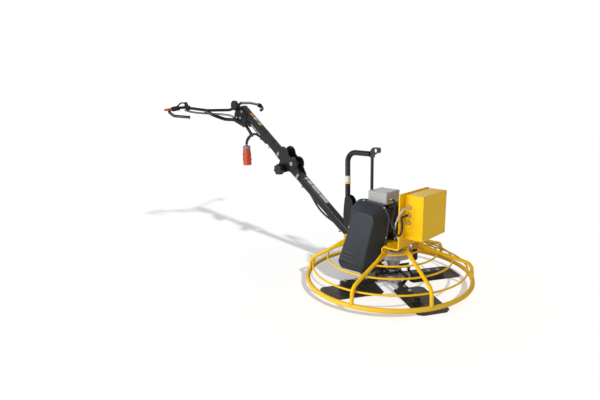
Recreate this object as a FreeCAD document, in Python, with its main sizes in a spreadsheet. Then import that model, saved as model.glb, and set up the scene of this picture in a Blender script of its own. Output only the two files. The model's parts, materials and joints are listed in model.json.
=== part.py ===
import FreeCAD, Part
import Sketcher
import math, os
from FreeCAD import Vector as V, Placement, Rotation

# Walk-behind power trowel, 36 inch class, electric.  Millimetres.
# Frame: origin on the floor under the centre of the guard ring, +Z up,
# +X away from the operator (control box side), the handle runs to -X,
# the belt guard is on the -Y side.  The four blades lie on z = 0.
# In the comments "near" is the -Y side and "far" is the +Y side.

SIZES = dict(
    # guard cage
    ring_rad=490, ring_tube=13, ring_bore=10.8, ring_height=45,
    rod_tube=5.3, rod_two_rad=459, rod_two_z=113, rod_three_rad=371, rod_three_z=166,
    rod_four_rad=281, rod_four_z=200, rod_five_rad=192, rod_five_z=232,
    leg_tube=10.5, leg_bore=8.0, leg_bend=55,
    # rotor axis and gearbox
    rotor_x=30, shaft_rad=15, wheel_rad=92.5, wheel_thick=24, gear_z=200,
    worm_x=-88, worm_rad=24.3, worm_shaft_rad=10, case_rad=104, case_wall=6,
    neck_rad=54, cone_top_rad=54, cone_low_rad=31, barrel_rad=36, run_gap=0.05,
    # mount plate
    plate_low=276, plate_thick=8, plate_back=-215, plate_front=181,
    plate_near=-180, plate_far=127, wall_top=589, bend_out=18, bend_in=10,
    # motor
    motor_x=-25, motor_z=396, motor_core=88, motor_bore=78, fin_tip=100,
    fin_thick=3.4, motor_len=180, shield_rad=98, cowl_rad=99, cowl_len=66,
    motor_shaft_rad=14, foot_span=190, foot_thick=13,
    term_w=132, term_l=136, term_h=58, lid_h=11,
    # belt drive
    pulley_y=-170, pulley_w=30, motor_pulley_rad=48, input_pulley_rad=62,
    belt_w=13, belt_thick=8, guard_wall=4, guard_rim=-124, guard_face=-220,
    # control box
    box_back=181.3, box_front=281, box_half=128, box_low=336, box_top=582,
    box_wall=2.5, cover_depth=11, gland_rad=10,
    # handle
    column_half=25, column_wall=3, column_round=7, column_start=-194,
    column_split_low=545, column_split_up=640, column_end=1262,
    fold_at=597, fold_up=38, fold_pin_rad=8, lobe_rad=46,
    clamp_at=649, clamp_up=-57, clamp_bolt_rad=6, knob_rad=38, knob_thick=34,
    lug_thick=6, lug_low_in=25.3, lug_up_in=31.7,
    bar_rad=12.5, bar_bore=10.3, grip_rad=16.5,
    bale_rad=16.5, bale_bore=13.5, bale_x=-325, bale_top=765,
    eye_rad=12, eye_x=-112, eye_z=787, eye_thick=12,
    # rotor
    hub_rad=60, hub_low=12, hub_top=54, arm_rad=13, arm_z=31,
    arm_in=66, arm_out=330, blade_in=106, blade_out=448,
    blade_lead=-48, blade_trail=142, blade_thick=3, bar_in=120, bar_out=330,
    bar_half=24, bar_top=17.8, lever_at=118, lever_reach=35, lever_pin=5,
    press_low=74, press_thick=10, press_rad=50, pad_low=66.2,
    collar_low=84.2, collar_thick=11.3, collar_out=42,
    yoke_x=-62, yoke_z=118, yoke_pin_rad=6, tine_in=37, tine_out=47,
    # mains plug
    plug_x=-1331, plug_rad=31, plug_low=598,
)
ALONG_X = V(1, 0, 0)
ALONG_Y = V(0, 1, 0)
UP = V(0, 0, 1)
TURN_TO_Y = Rotation(V(1, 0, 0), -90)  # swings local z onto +Y

doc = FreeCAD.newDocument("power_trowel")
sheet = doc.addObject("Spreadsheet::Sheet", "Sizes")
for row, (name, value) in enumerate(SIZES.items(), 1):
    sheet.set("A%d" % row, name)
    sheet.set("B%d" % row, repr(value))
    sheet.setAlias("B%d" % row, name)
doc.recompute()

OUT = {}  # node name -> finished object


# ---------- sizes ----------
# Wherever a helper takes a length it may be a number, or an expression in
# size names such as "gear_z + 20", which stays bound to the sheet.
def size(name):
    return float(sheet.get(name))


def evaluate(value):
    if isinstance(value, str):
        result = sheet.evalExpression(value)
        return float(getattr(result, "Value", result))
    return float(value)


def on_sheet(text):
    """The expression with every size name written as a reference to the sheet."""
    for mark in "()-":
        text = text.replace(mark, " %s " % mark)
    return " ".join("Sizes." + word if word in SIZES else word for word in text.split())


def link(obj, path, value):
    if isinstance(value, str):
        obj.setExpression(path, on_sheet(value))


def bind(obj, prop, value):
    setattr(obj, prop, evaluate(value))
    link(obj, prop, value)


def place(obj, base, rotation):
    obj.Placement = Placement(V(*[evaluate(value) for value in base]), rotation)
    for axis, value in zip("xyz", base):
        link(obj, "Placement.Base." + axis, value)


def unique(prefix):
    unique.count += 1
    return "%s_%d" % (prefix, unique.count)


unique.count = 0


# ---------- PartDesign helpers ----------
def new_body(name, base=(0, 0, 0), rotation=Rotation()):
    body = doc.addObject("PartDesign::Body", name)
    body.Label = name
    place(body, base, rotation)
    return body


def origin_feature(body, role):
    return [item for item in body.Origin.OriginFeatures if item.Role == role][0]


def constrain(sketch, constraint, value=None):
    sketch.addConstraint(constraint)
    link(sketch, "Constraints[%d]" % (sketch.ConstraintCount - 1), value)


def fix_point(sketch, item, position, x, y):
    for kind, value, axis in (("DistanceX", x, -2), ("DistanceY", y, -1)):
        distance = evaluate(value)
        if abs(distance) < 1e-9:
            constrain(sketch, Sketcher.Constraint("PointOnObject", item, position, axis))
        else:
            rule = Sketcher.Constraint(kind, -1, 1, item, position, distance)
            constrain(sketch, rule, value)


def draw(body, plane, offset, outline=(), circles=()):
    """Sketch of one closed outline of (x, y), or of circles of (x, y, radius)."""
    sketch = body.newObject("Sketcher::SketchObject", unique("Sketch"))
    sketch.AttachmentSupport = [(origin_feature(body, plane + "_Plane"), "")]
    sketch.MapMode = "FlatFace"
    sketch.AttachmentOffset = Placement(V(0, 0, evaluate(offset)), Rotation())
    link(sketch, "AttachmentOffset.Base.z", offset)
    corners = [V(evaluate(x), evaluate(y), 0) for x, y in outline]
    sides = [sketch.addGeometry(Part.LineSegment(start, end), False)
             for start, end in zip(corners, corners[1:] + corners[:1])]
    for side, following in zip(sides, sides[1:] + sides[:1]):
        constrain(sketch, Sketcher.Constraint("Coincident", side, 2, following, 1))
    for side, (x, y) in zip(sides, outline):
        fix_point(sketch, side, 1, x, y)
    for x, y, radius in circles:
        number = evaluate(radius)
        circle = Part.Circle(V(evaluate(x), evaluate(y), 0), UP, number)
        item = sketch.addGeometry(circle, False)
        constrain(sketch, Sketcher.Constraint("Radius", item, number), radius)
        fix_point(sketch, item, 3, x, y)
    return sketch


def rect(x_low, x_high, y_low, y_high):
    return [(x_low, y_low), (x_high, y_low), (x_high, y_high), (x_low, y_high)]


def pad(body, sketch, length):
    feature = body.newObject("PartDesign::Pad", unique("Pad"))
    feature.Profile = sketch
    bind(feature, "Length", length)
    doc.recompute()
    return feature


def pocket(body, sketch, length, reverse=True):
    doc.recompute()
    before = body.Shape.Volume
    feature = body.newObject("PartDesign::Pocket", unique("Pocket"))
    feature.Profile = sketch
    bind(feature, "Length", length)
    feature.Reversed = reverse
    doc.recompute()
    if not body.Shape.Volume < before - 1e-3:
        raise RuntimeError("pocket cuts nothing in " + body.Label)
    return feature


def polar(body, feature, count, axis="Z_Axis"):
    pattern = body.newObject("PartDesign::PolarPattern", unique("PolarPattern"))
    pattern.Originals = [feature]
    pattern.Axis = (origin_feature(body, axis), [""])
    pattern.Angle = 360
    pattern.Occurrences = count
    body.Tip = pattern
    doc.recompute()


def fillet(body, test, radius):
    """Round the edges of the body's last feature that pass the test."""
    base = body.Tip
    edges = ["Edge%d" % i for i, edge in enumerate(base.Shape.Edges, 1) if test(edge)]
    rounding = body.newObject("PartDesign::Fillet", unique("Fillet"))
    rounding.Base = (base, edges)
    bind(rounding, "Radius", radius)
    doc.recompute()
    return rounding


def turned(name, base, rotation, profile):
    """Body revolved about local z from a profile of (radius, z)."""
    body = new_body(name, base, rotation)
    sketch = draw(body, "XZ", 0, profile)
    turning = body.newObject("PartDesign::Revolution", unique("Revolution"))
    turning.Profile = sketch
    turning.ReferenceAxis = (sketch, ["V_Axis"])
    turning.Angle = 360
    doc.recompute()
    return body


# ---------- edge tests ----------
def unit(vector):
    result = V(vector)
    result.normalize()
    return result


def near(first, second):
    return abs(first - second) < 0.01


def runs_along(edge, direction):
    if not isinstance(edge.Curve, Part.Line):
        return False
    chord = edge.Vertexes[-1].Point - edge.Vertexes[0].Point
    return chord.Length > 1e-6 and abs(abs(unit(chord).dot(direction)) - 1) < 1e-6


def upright(edge):
    return runs_along(edge, UP)


# ---------- Part helpers ----------
def primitive(kind, base, direction=UP, **lengths):
    solid = doc.addObject("Part::" + kind, unique(kind))
    for prop, value in lengths.items():
        bind(solid, prop, value)
    place(solid, base, Rotation(UP, direction))
    return solid


def cylinder(radius, height, base, direction=UP):
    return primitive("Cylinder", base, direction, Radius=radius, Height=height)


def fuse(objects):
    fusion = doc.addObject("Part::MultiFuse", unique("Fusion"))
    fusion.Shapes = objects
    fusion.Refine = True
    doc.recompute()
    return fusion


def cut(base, tool, name=None):
    result = doc.addObject("Part::Cut", name or unique("Cut"))
    result.Base = base
    result.Tool = tool
    result.Refine = True
    doc.recompute()
    return result


def common(base, tool, name):
    result = doc.addObject("Part::Common", name)
    result.Base = base
    result.Tool = tool
    doc.recompute()
    return result


def as_object(shape, name):
    obj = doc.addObject("Part::Feature", name)
    obj.Shape = shape
    return obj


def keep(node, obj):
    obj.Label = node
    OUT[node] = obj


def keep_shape(node, shape):
    keep(node, as_object(shape, node))


def keep_group(node, objects):
    compound = doc.addObject("Part::Compound", node)
    compound.Links = objects
    doc.recompute()
    keep(node, compound)


# ---------- plain shape helpers ----------
def solids_of(shape):
    return shape.Solids[0] if len(shape.Solids) == 1 else shape


def largest(shape):
    return max(shape.Solids, key=lambda solid: solid.Volume)


def fused(first, *others):
    for other in others:
        first = first.fuse(other)
    return first.removeSplitter()


def cylinder_y(radius, length, x, y, z):
    return Part.makeCylinder(radius, length, V(x, y, z), ALONG_Y)


def closed(points):
    return Part.makePolygon(points + points[:1])


def plate_xz(outline, y, thickness):
    """Upright plate from an outline of (x, z), grown from y towards +Y."""
    face = Part.Face(closed([V(x, y, z) for x, z in outline]))
    return face.extrude(V(0, thickness, 0))


def corner_arc(before, corner, after, radius, reach=float("inf")):
    """Start, middle, end and centre of a rounded corner; reach limits its setback."""
    back, ahead = unit(before - corner), unit(after - corner)
    half = back.getAngle(ahead) / 2
    setback = min(radius / math.tan(half), reach)
    radius = setback * math.tan(half)
    bisector = unit(back + ahead)
    centre = corner + bisector * math.hypot(setback, radius)
    return corner + back * setback, centre - bisector * radius, corner + ahead * setback, centre


def bent_wire(points, radii):
    """Polyline in space whose corners are rounded to the bend radii."""
    points = [V(*point) for point in points]
    last = len(points) - 2
    edges = []
    current = points[0]
    for i in range(1, last + 1):
        before, corner, after = points[i - 1:i + 2]
        reach = min((before - corner).Length * (0.95 if i == 1 else 0.48),
                    (after - corner).Length * (0.95 if i == last else 0.48))
        start, middle, end, _ = corner_arc(before, corner, after, radii[i - 1], reach)
        edges.append(Part.LineSegment(current, start).toShape())
        edges.append(Part.Arc(start, middle, end).toShape())
        current = end
    edges.append(Part.LineSegment(current, points[-1]).toShape())
    return Part.Wire(edges)


def sweep(wire, radius):
    edge = wire.OrderedEdges[0]
    start = edge.valueAt(edge.FirstParameter)
    tangent = edge.tangentAt(edge.FirstParameter)
    if (start - wire.OrderedVertexes[0].Point).Length > 1e-6:
        start = edge.valueAt(edge.LastParameter)
        tangent = edge.tangentAt(edge.LastParameter) * -1
    profile = Part.Wire([Part.Circle(start, tangent, radius).toShape()])
    solid = wire.makePipeShell([profile], True, False)
    if solid.ShapeType != "Solid":
        solid = Part.Solid(Part.Shell(solid.Faces))
    if solid.Volume < 0:
        solid.reverse()
    return solid


def bent_tube(wire, radius, bore):
    return sweep(wire, radius).cut(sweep(wire, bore))


# handle column frame: local x runs up the column, local y stands off its upper face
COLUMN_FOOT = V(-340, 0, 266)
COLUMN_COS, COLUMN_SIN, COLUMN_SLOPE = 0.7988, 0.6016, 0.7531
COLUMN = Placement(COLUMN_FOOT, Rotation(V(-COLUMN_COS, 0, COLUMN_SIN),
                                         V(COLUMN_SIN, 0, COLUMN_COS), ALONG_Y, "XYZ"))


def column_body(name):
    return new_body(name, COLUMN.Base, COLUMN.Rotation)


def on_column(along, above):
    return COLUMN.multVec(V(along, above, 0))


def column_top(x, above):
    """Height at x of the line that stands above the column axis by the given distance."""
    return COLUMN_FOOT.z + above / COLUMN_COS - COLUMN_SLOPE * (x - COLUMN_FOOT.x)


# =====================================================================
# 1. guard cage
# =====================================================================
RING_BASE = (0, 0, "ring_height")
outer = primitive("Torus", RING_BASE, Radius1="ring_rad", Radius2="ring_tube")
inner = primitive("Torus", RING_BASE, Radius1="ring_rad", Radius2="ring_bore")
hollow_ring = cut(outer, inner)
drain = cylinder(2.5, 8, ("ring_rad", 0, "ring_height - ring_tube - 3"))
keep("guard_ring", cut(hollow_ring, drain, "guard_ring"))

# name and half angle of each rod, which lies across the +X direction
RODS = (("rod_two", 148.6), ("rod_three", 148.0), ("rod_four", 73), ("rod_five", 66))


def build_rod(name, half_angle):
    rod = Part.makeTorus(size(name + "_rad"), size("rod_tube"), V(0, 0, 0), UP,
                         -180, 180, 2 * half_angle)
    rod.rotate(V(0, 0, 0), UP, -half_angle)
    rod.translate(V(0, 0, size(name + "_z")))
    return rod


def rod_clearance(name, gap):
    return Part.makeTorus(size(name + "_rad"), size("rod_tube") + gap,
                          V(0, 0, size(name + "_z")))


keep_shape("guard_rods", Part.makeCompound([build_rod(*rod) for rod in RODS]))

# (x, y) of each leg's foot on the ring and of its inner end; the far side mirrors them
LEGS = [((97.0, -480.3), (81.0, -128.0)),
        ((426.0, -241.5), (134.0, -45.5)),
        ((-415.5, -259.7), (-206.0, -88.0))]
LEGS += [((foot[0], -foot[1]), (end[0], -end[1])) for foot, end in LEGS]
LEG_GAUGE_RUN, LEG_GAUGE_Z = 112.0, 177.0  # the sloping run passes this point
LEG_END_Z = 254.0
LEG_FLAT = 136.0        # level length of transition and flat bar together
LEG_TRANSITION = 74
LEG_HOLES = (8.0, 27.0)  # back from the inner end
# (along the normal, across) of the sections that the transition joins
ROUND_SECTION = [(9.5 * math.cos(math.radians(22.5 + 45 * k)),
                  9.5 * math.sin(math.radians(22.5 + 45 * k))) for k in range(8)]
FLAT_SECTION = [(19.5, 2.0), (17, 4.5), (-17, 4.5), (-19.5, 2.0),
                (-19.5, -2.0), (-17, -4.5), (17, -4.5), (19.5, -2.0)]


def elbow(start, knee, end, radius):
    """Round bar along two straight runs joined by one bend."""
    first, _, last, centre = corner_arc(start, knee, end, size("leg_bend"))
    back, ahead = unit(start - knee), unit(end - knee)
    disc = Part.Face(Part.Wire([Part.Circle(first, back, radius).toShape()]))
    turn = disc.revolve(centre, unit(ahead.cross(back)),
                        math.degrees(math.pi - back.getAngle(ahead)))
    return fused(Part.makeCylinder(radius, (start - first).Length, start, first - start),
                 turn, Part.makeCylinder(radius, (end - last).Length, last, end - last))


def build_leg(foot, end):
    """One leg, the tab its inner end bolts to, and the two bolts."""
    foot, end = V(foot[0], foot[1], 0), V(end[0], end[1], 0)
    heading = unit(end - foot)
    across = V(-heading.y, heading.x, 0)
    slope = (LEG_END_Z - LEG_GAUGE_Z) / ((end - foot).Length - LEG_GAUGE_RUN)
    direction = unit(V(heading.x, heading.y, slope))
    normal = unit(V(-heading.x * slope, -heading.y * slope, 1))
    ring_z = size("ring_height")

    start = V(foot.x, foot.y, ring_z + 4)
    knee = V(foot.x, foot.y, LEG_GAUGE_Z - LEG_GAUGE_RUN * slope) + heading * 8
    tube_end = end - heading * LEG_FLAT
    tube_end.z = LEG_END_Z - LEG_FLAT * slope
    tube = elbow(start, knee, tube_end, size("leg_tube"))
    tube = tube.cut(elbow(start, knee, tube_end, size("leg_bore")))
    # cope the foot on the ring
    tube = tube.cut(Part.makeTorus(size("ring_rad"), size("ring_tube") + 0.15, V(0, 0, ring_z)))
    tube = largest(tube)

    # flattened inner end: short transition, then a flat bar on edge with eased edges
    def section(point, pairs):
        return closed([point + normal * rise + across * side for rise, side in pairs])
    flat_start = tube_end + direction * LEG_TRANSITION
    flat_end = V(end.x, end.y, LEG_END_Z)
    transition = Part.makeLoft([section(tube_end - direction * 2, ROUND_SECTION),
                                section(flat_start, FLAT_SECTION)], True, True)
    flat_bar = Part.Face(section(flat_start, FLAT_SECTION)).extrude(flat_end - flat_start)
    leg = tube.fuse(transition).fuse(flat_bar)
    for name, _ in RODS:
        leg = leg.cut(rod_clearance(name, 0.12))

    holes, bolts = [], []
    for back in LEG_HOLES:
        centre = flat_end - direction * back
        hole = Part.makeCylinder(4.3, 40, centre - across * 20, across)
        leg = leg.cut(hole)
        holes.append(hole)
        bolts.append(fused(Part.makeCylinder(4.0, 22, centre - across * 9, across),
                           Part.makeCylinder(7.5, 5, centre - across * 9.6, across),
                           Part.makeCylinder(7.5, 5, centre + across * 10.8, across)))

    # upright tab beside the flat bar: half bar, running gap, half tab
    corner = end - heading * 60 + across * (4.5 + 0.1 + 3.0)
    tab = Part.makeBox(68, 6, 50, V(0, -3, 0))
    tab.rotate(V(0, 0, 0), UP, math.degrees(math.atan2(heading.y, heading.x)))
    tab.translate(V(corner.x, corner.y, size("plate_low") - 49.8))
    for hole in holes:
        tab = tab.cut(hole)
    tab = tab.cut(rod_clearance("rod_five", 0.4))
    return largest(leg), largest(tab), bolts


leg_solids, tabs, frame_bolts = [], [], []
for foot, end in LEGS:
    leg, tab, leg_bolts = build_leg(foot, end)
    leg_solids.append(leg)
    tabs.append(tab)
    frame_bolts += leg_bolts
keep_shape("guard_legs", Part.makeCompound(leg_solids))

# =====================================================================
# 2. mount plate: base and upright wall bent from one sheet, with the leg tabs
# =====================================================================
rotor_x = size("rotor_x")
plate_low = size("plate_low")
# (x, y) of the gearbox bolts and of the motor foot bolts
GEAR_BOLTS = [(rotor_x + dx, y) for dx, y in ((-46, -12), (46, -12), (46, 12), (-46, 12))]
FOOT_BOLTS = [(size("motor_x") + side * size("foot_span") / 2, y)
              for side in (-1, 1) for y in (-50, 90)]

body = new_body("mount_sheet")
pad(body, draw(body, "XZ", "-plate_far", [
    ("plate_back", "plate_low"), ("plate_front", "plate_low"), ("plate_front", "wall_top"),
    ("plate_front - plate_thick", "wall_top"),
    ("plate_front - plate_thick", "plate_low + plate_thick"),
    ("plate_back", "plate_low + plate_thick")]), "plate_far - plate_near")
for inset, radius in ((0, "bend_out"), (size("plate_thick"), "bend_in")):
    fillet(body, lambda edge: (runs_along(edge, ALONG_Y)
                               and near(edge.CenterOfMass.x, size("plate_front") - inset)
                               and near(edge.CenterOfMass.z, plate_low + inset)), radius)
# the near side is cut back behind the belt guard
pocket(body, draw(body, "XY", "plate_low - 5",
                  rect("plate_back - 10", 78, "plate_near - 10", -112)), 30)
# clearance hole for the gearbox spigot, and the four gearbox bolt holes
pocket(body, draw(body, "XY", "plate_low - 5", circles=[("rotor_x", 0, 34)] + [
    (x, y, 4.5) for x, y in GEAR_BOLTS]), 20)
# top corners of the wall
fillet(body, lambda edge: (runs_along(edge, ALONG_X) and edge.CenterOfMass.z > 500
                           and edge.Length < 12), 14)
foot_holes = [cylinder(5.5, 20, (x, y, "plate_low - 4")) for x, y in FOOT_BOLTS]
plate = fuse([body] + [as_object(tab, unique("leg_tab")) for tab in tabs])
keep("mount_plate", cut(plate, fuse(foot_holes), "mount_plate"))

# =====================================================================
# 3. gearbox: two cast shells split on the worm axis
# =====================================================================
solid_case = fuse([
    cylinder("case_rad", 52, ("rotor_x", 0, "gear_z - 26")),
    # neck and spigot under the mount plate
    cylinder("neck_rad", "plate_low - 0.3 - (gear_z + 20)", ("rotor_x", 0, "gear_z + 20")),
    cylinder(33.5, 9, ("rotor_x", 0, "plate_low - 6")),
    primitive("Cone", ("rotor_x", 0, 104), Radius1="cone_low_rad", Radius2="cone_top_rad",
              Height=74),
    # worm barrel and joint flange
    cylinder("barrel_rad", 160, ("worm_x", -80, "gear_z"), ALONG_Y),
    cylinder("case_rad + 9", 9, ("rotor_x", 0, "gear_z - 4.5"))])
hollows = [
    cylinder("case_rad - case_wall", 40, ("rotor_x", 0, "gear_z - 20")),
    # bores on the rotor axis
    cylinder(31, 83, ("rotor_x", 0, "gear_z - 20")),
    cylinder(26.02, 60, ("rotor_x", 0, 128)),
    cylinder("shaft_rad + 1", 90, ("rotor_x", 0, 95)),
    cylinder(26.02, 20, ("rotor_x", 0, 112)),
    # bores on the worm axis
    cylinder(29, 148, ("worm_x", -74, "gear_z"), ALONG_Y),
    cylinder("worm_shaft_rad + 1", 200, ("worm_x", -100, "gear_z"), ALONG_Y)]
hollows += [cylinder(4.2, 22, (x, y, plate_low - 22)) for x, y in GEAR_BOLTS]
case = cut(solid_case, fuse(hollows), "gear_case")
upper_space, lower_space = [
    primitive("Box", (-250, -200, base_z), Length=400, Width=400, Height=200)
    for base_z in ("gear_z + 0.1", "gear_z - 200.1")]
keep("gear_case_upper", common(case, upper_space, "gear_case_upper"))
lower_half = common(case, lower_space, "gear_case_lower")

# round cap on the side of the case, towards +X and +Y
keep("gear_case_cap", turned(
    "gear_case_cap", ("rotor_x", 0, 186), Rotation(UP, V(0.82, 0.572, 0)),
    [(0, 114), (35, 114), (40, 118), (40, 131), (33, 140), (0, 140)]))

# bearings, two on the rotor shaft and two on the worm shaft
rings = []
for radius, shaft, base, direction in (
        (26, "shaft_rad", ("rotor_x", 0, 112.5), UP),
        (30.98, "shaft_rad", ("rotor_x", 0, 242), UP),
        (28.98, "worm_shaft_rad", ("worm_x", -72, "gear_z"), ALONG_Y),
        (28.98, "worm_shaft_rad", ("worm_x", 57, "gear_z"), ALONG_Y)):
    rings.append(cut(cylinder(radius, 15, base, direction),
                     cylinder(shaft + " + run_gap", 15, base, direction)))
keep_group("gearbox_bearings", rings)

# rotor shaft, chamfered at both ends
keep("main_shaft", turned("main_shaft", ("rotor_x", 0, 0), Rotation(), [
    (0, 14), ("shaft_rad - 2", 14), ("shaft_rad", 16),
    ("shaft_rad", 260), ("shaft_rad - 2", 262), (0, 262)]))

body = new_body("worm_wheel", ("rotor_x", 0, "gear_z"))
pad(body, draw(body, "XY", "-wheel_thick / 2",
               circles=[(0, 0, "wheel_rad"), (0, 0, "shaft_rad + 0.02")]), "wheel_thick")
hole = pocket(body, draw(body, "XY", "-wheel_thick / 2 - 1", circles=[(52, 0, 14)]),
              "wheel_thick + 2")
polar(body, hole, 6)
keep("worm_wheel", body)

keep("worm_shaft", turned("worm_shaft", ("worm_x", 0, "gear_z"), TURN_TO_Y, [
    (0, -190), ("worm_shaft_rad", -190), ("worm_shaft_rad", -44), (18, -42),
    ("worm_rad", -36), ("worm_rad", 36), (18, 42), ("worm_shaft_rad", 44),
    ("worm_shaft_rad", 72), (0, 72)]))


def build_pulley(node, x, z, radius, shaft):
    """Grooved pulley with a hub at its -Y end and five round holes."""
    bore, floor = shaft + " + 0.02", radius + " - 10"
    half_groove = (size("belt_w") + 0.6) / 2
    body = turned(node, (x, "pulley_y", z), TURN_TO_Y, [
        (bore, -18), (24, -18), (24, "-pulley_w / 2"), (radius, "-pulley_w / 2"),
        (radius, -half_groove), (floor, -half_groove), (floor, half_groove),
        (radius, half_groove), (radius, "pulley_w / 2"), (bore, "pulley_w / 2")])
    circle = (size(radius) * 0.58, 0, size(radius) * 0.13)
    hole = pocket(body, draw(body, "XY", "-pulley_w / 2 - 2", circles=[circle]), "pulley_w + 4")
    polar(body, hole, 5)
    keep(node, body)


build_pulley("input_pulley", "worm_x", "gear_z", "input_pulley_rad", "worm_shaft_rad")
build_pulley("motor_pulley", "motor_x", "motor_z", "motor_pulley_rad", "motor_shaft_rad")

motor_axis = V(size("motor_x"), 0, size("motor_z"))
worm_axis = V(size("worm_x"), 0, size("gear_z"))


def belt_loop(growth):
    """Belt-wide solid inside a loop round both pulleys, grown outwards."""
    sink = 9.7  # depth of the belt's inner side below the pulley rims
    y = size("pulley_y") - size("belt_w") / 2
    motor_radius = size("motor_pulley_rad") - sink + growth
    worm_radius = size("input_pulley_rad") - sink + growth
    gap = worm_axis - motor_axis
    heading = math.atan2(gap.z, gap.x)
    spread = math.acos((motor_radius - worm_radius) / gap.Length)

    def rim(centre, radius, angle):
        return V(centre.x + radius * math.cos(angle), y, centre.z + radius * math.sin(angle))

    def at_motor(angle):
        return rim(motor_axis, motor_radius, angle)

    def at_worm(angle):
        return rim(worm_axis, worm_radius, angle)
    first, second = heading + spread, heading - spread
    edges = [Part.LineSegment(at_motor(first), at_worm(first)),
             Part.Arc(at_worm(first), at_worm(heading), at_worm(second)),
             Part.LineSegment(at_worm(second), at_motor(second)),
             Part.Arc(at_motor(second), at_motor(heading + math.pi), at_motor(first))]
    face = Part.Face(Part.Wire([edge.toShape() for edge in edges]))
    return face.extrude(V(0, size("belt_w"), 0))


keep_shape("v_belt", solids_of(belt_loop(size("belt_thick")).cut(belt_loop(0))))

# =====================================================================
# 4. motor, its axis along Y
# =====================================================================
MOTOR_BASE = ("motor_x", 0, "motor_z")

# the housing runs from y = 110 towards -Y
body = new_body("motor_housing", ("motor_x", 110, "motor_z"))
pad(body, draw(body, "XZ", 0, circles=[(0, 0, "motor_core")]), "motor_len")
fin = pad(body, draw(body, "XZ", 8, rect("-fin_thick / 2", "fin_thick / 2", 80, "fin_tip")),
          "motor_len - 16")
polar(body, fin, 36, "Y_Axis")
for offset, length in ((14, 40), (134, 30)):
    # foot bar with a strut up to the core on either side
    for outline in (
            rect("-foot_span / 2 - 18", "foot_span / 2 + 18", -111.8, "-111.8 + foot_thick"),
            [(-83, -104), (-62, -104), (-52, -60), (-80, -34)],
            [(83, -104), (80, -34), (52, -60), (62, -104)]):
        pad(body, draw(body, "XZ", offset, outline), length)
# flat seat under the terminal box
pad(body, draw(body, "XZ", 70, rect(-62, 62, 70, 94)), 108)
pocket(body, draw(body, "XZ", -1, circles=[(0, 0, "motor_bore")]), "motor_len + 2")
# foot bolt holes
pocket(body, draw(body, "XY", -115, circles=[
    (x, y, 5.5) for x in ("-foot_span / 2", "foot_span / 2") for y in (-20, -160)]), 20)
keep("motor_housing", body)

# end shields: "front" is the pulley end at -Y, "rear" the fan end at +Y
SHIELD_BORE = "motor_shaft_rad + run_gap"
front = turned("motor_shield_front", MOTOR_BASE, TURN_TO_Y, [
    (SHIELD_BORE, -98), (36, -98), (40, -88), (90, -86), ("shield_rad", -80),
    ("shield_rad", -70.1), (SHIELD_BORE, -70.1)])
hole = pocket(front, draw(front, "XY", -80, circles=[(68, 0, 9)]), 14, reverse=False)
polar(front, hole, 6)
rear = turned("motor_shield_rear", MOTOR_BASE, TURN_TO_Y, [
    (SHIELD_BORE, 110.1), ("shield_rad - 3", 110.1), ("shield_rad - 3", 123),
    (SHIELD_BORE, 123)])
keep_group("motor_end_shields", [front, rear])

body = turned("fan_cowl", MOTOR_BASE, TURN_TO_Y, [
    ("cowl_rad - 2.5", 114), ("cowl_rad", 114), ("cowl_rad", "114 + cowl_len - 12"),
    ("cowl_rad - 12", "114 + cowl_len"), (0, "114 + cowl_len"), (0, "111.5 + cowl_len"),
    ("cowl_rad - 13", "111.5 + cowl_len"), ("cowl_rad - 2.5", "112 + cowl_len - 11")])
holes = pocket(body, draw(body, "XY", "105 + cowl_len",
                          circles=[(x, 0, 5.2) for x in (24, 40, 56, 72)]), 12)
polar(body, holes, 14)
keep("fan_cowl", body)

# shaft with the rotor core on it
keep("motor_shaft", turned("motor_shaft", MOTOR_BASE, TURN_TO_Y, [
    (0, -190), ("motor_shaft_rad - 1", -190), ("motor_shaft_rad", -188),
    ("motor_shaft_rad", -60), (56, -55), (56, 92), ("motor_shaft_rad", 97),
    ("motor_shaft_rad", 150), (0, 150)]))

body = new_body("motor_fan", MOTOR_BASE, TURN_TO_Y)
pad(body, draw(body, "XY", 128, circles=[(0, 0, 34), (0, 0, "motor_shaft_rad + 0.02")]), 22)
fan_blade = pad(body, draw(body, "XY", 130, rect(30, 84, -1.5, 1.5)), 30)
polar(body, fan_blade, 7)
keep("motor_fan", body)

# terminal box: body and lid
box = new_body("terminal_box_body")
pad(box, draw(box, "XY", "motor_z + 100.4",
              rect("motor_x - 71", "motor_x - 71 + term_w", -94, "-94 + term_l")), "term_h")
fillet(box, upright, 8)
pocket(box, draw(box, "XY", "motor_z + 103.4",
                 rect("motor_x - 68", "motor_x - 74 + term_w", -91, "-97 + term_l")), "term_h")
lid = new_body("terminal_box_lid")
pad(lid, draw(lid, "XY", "motor_z + 100.7 + term_h",
              rect("motor_x - 72.5", "motor_x - 69.5 + term_w", -95.5, "-92.5 + term_l")),
    "lid_h")
fillet(lid, upright, 9)
lid_top = evaluate("motor_z + 100.7 + term_h + lid_h")
fillet(lid, lambda edge: near(edge.BoundBox.ZMin, lid_top), 8)
keep_group("terminal_box", [box, lid])

# =====================================================================
# 5. belt guard
# =====================================================================
# corners of the outer face and of the rim: x, z, corner radius
FACE = [(-101, 447, 34), (-62, 468, 40), (27, 455, 34), (38, 426, 30),
        (-3, 270, 90), (-41, 106, 14), (-197, 101, 24), (-222, 135, 28)]
RIM = [(-181, 455, 56), (-122, 509, 62), (40, 497, 54), (75, 436, 52),
       (52, 280, 90), (-20, 92, 18), (-214, 86, 28), (-246, 130, 34)]
# x, z of the rim screws, before they are moved onto the middle of the rim
GUARD_SCREWS = [(-98, 497), (44, 486), (62, 320), (6, 172), (-120, 82), (-238, 170),
                (-206, 330)]
# z, first x and last x of the face grooves
GROOVES = ((196, -205, -120), (172, -212, -120), (150, -216, -120))


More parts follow.
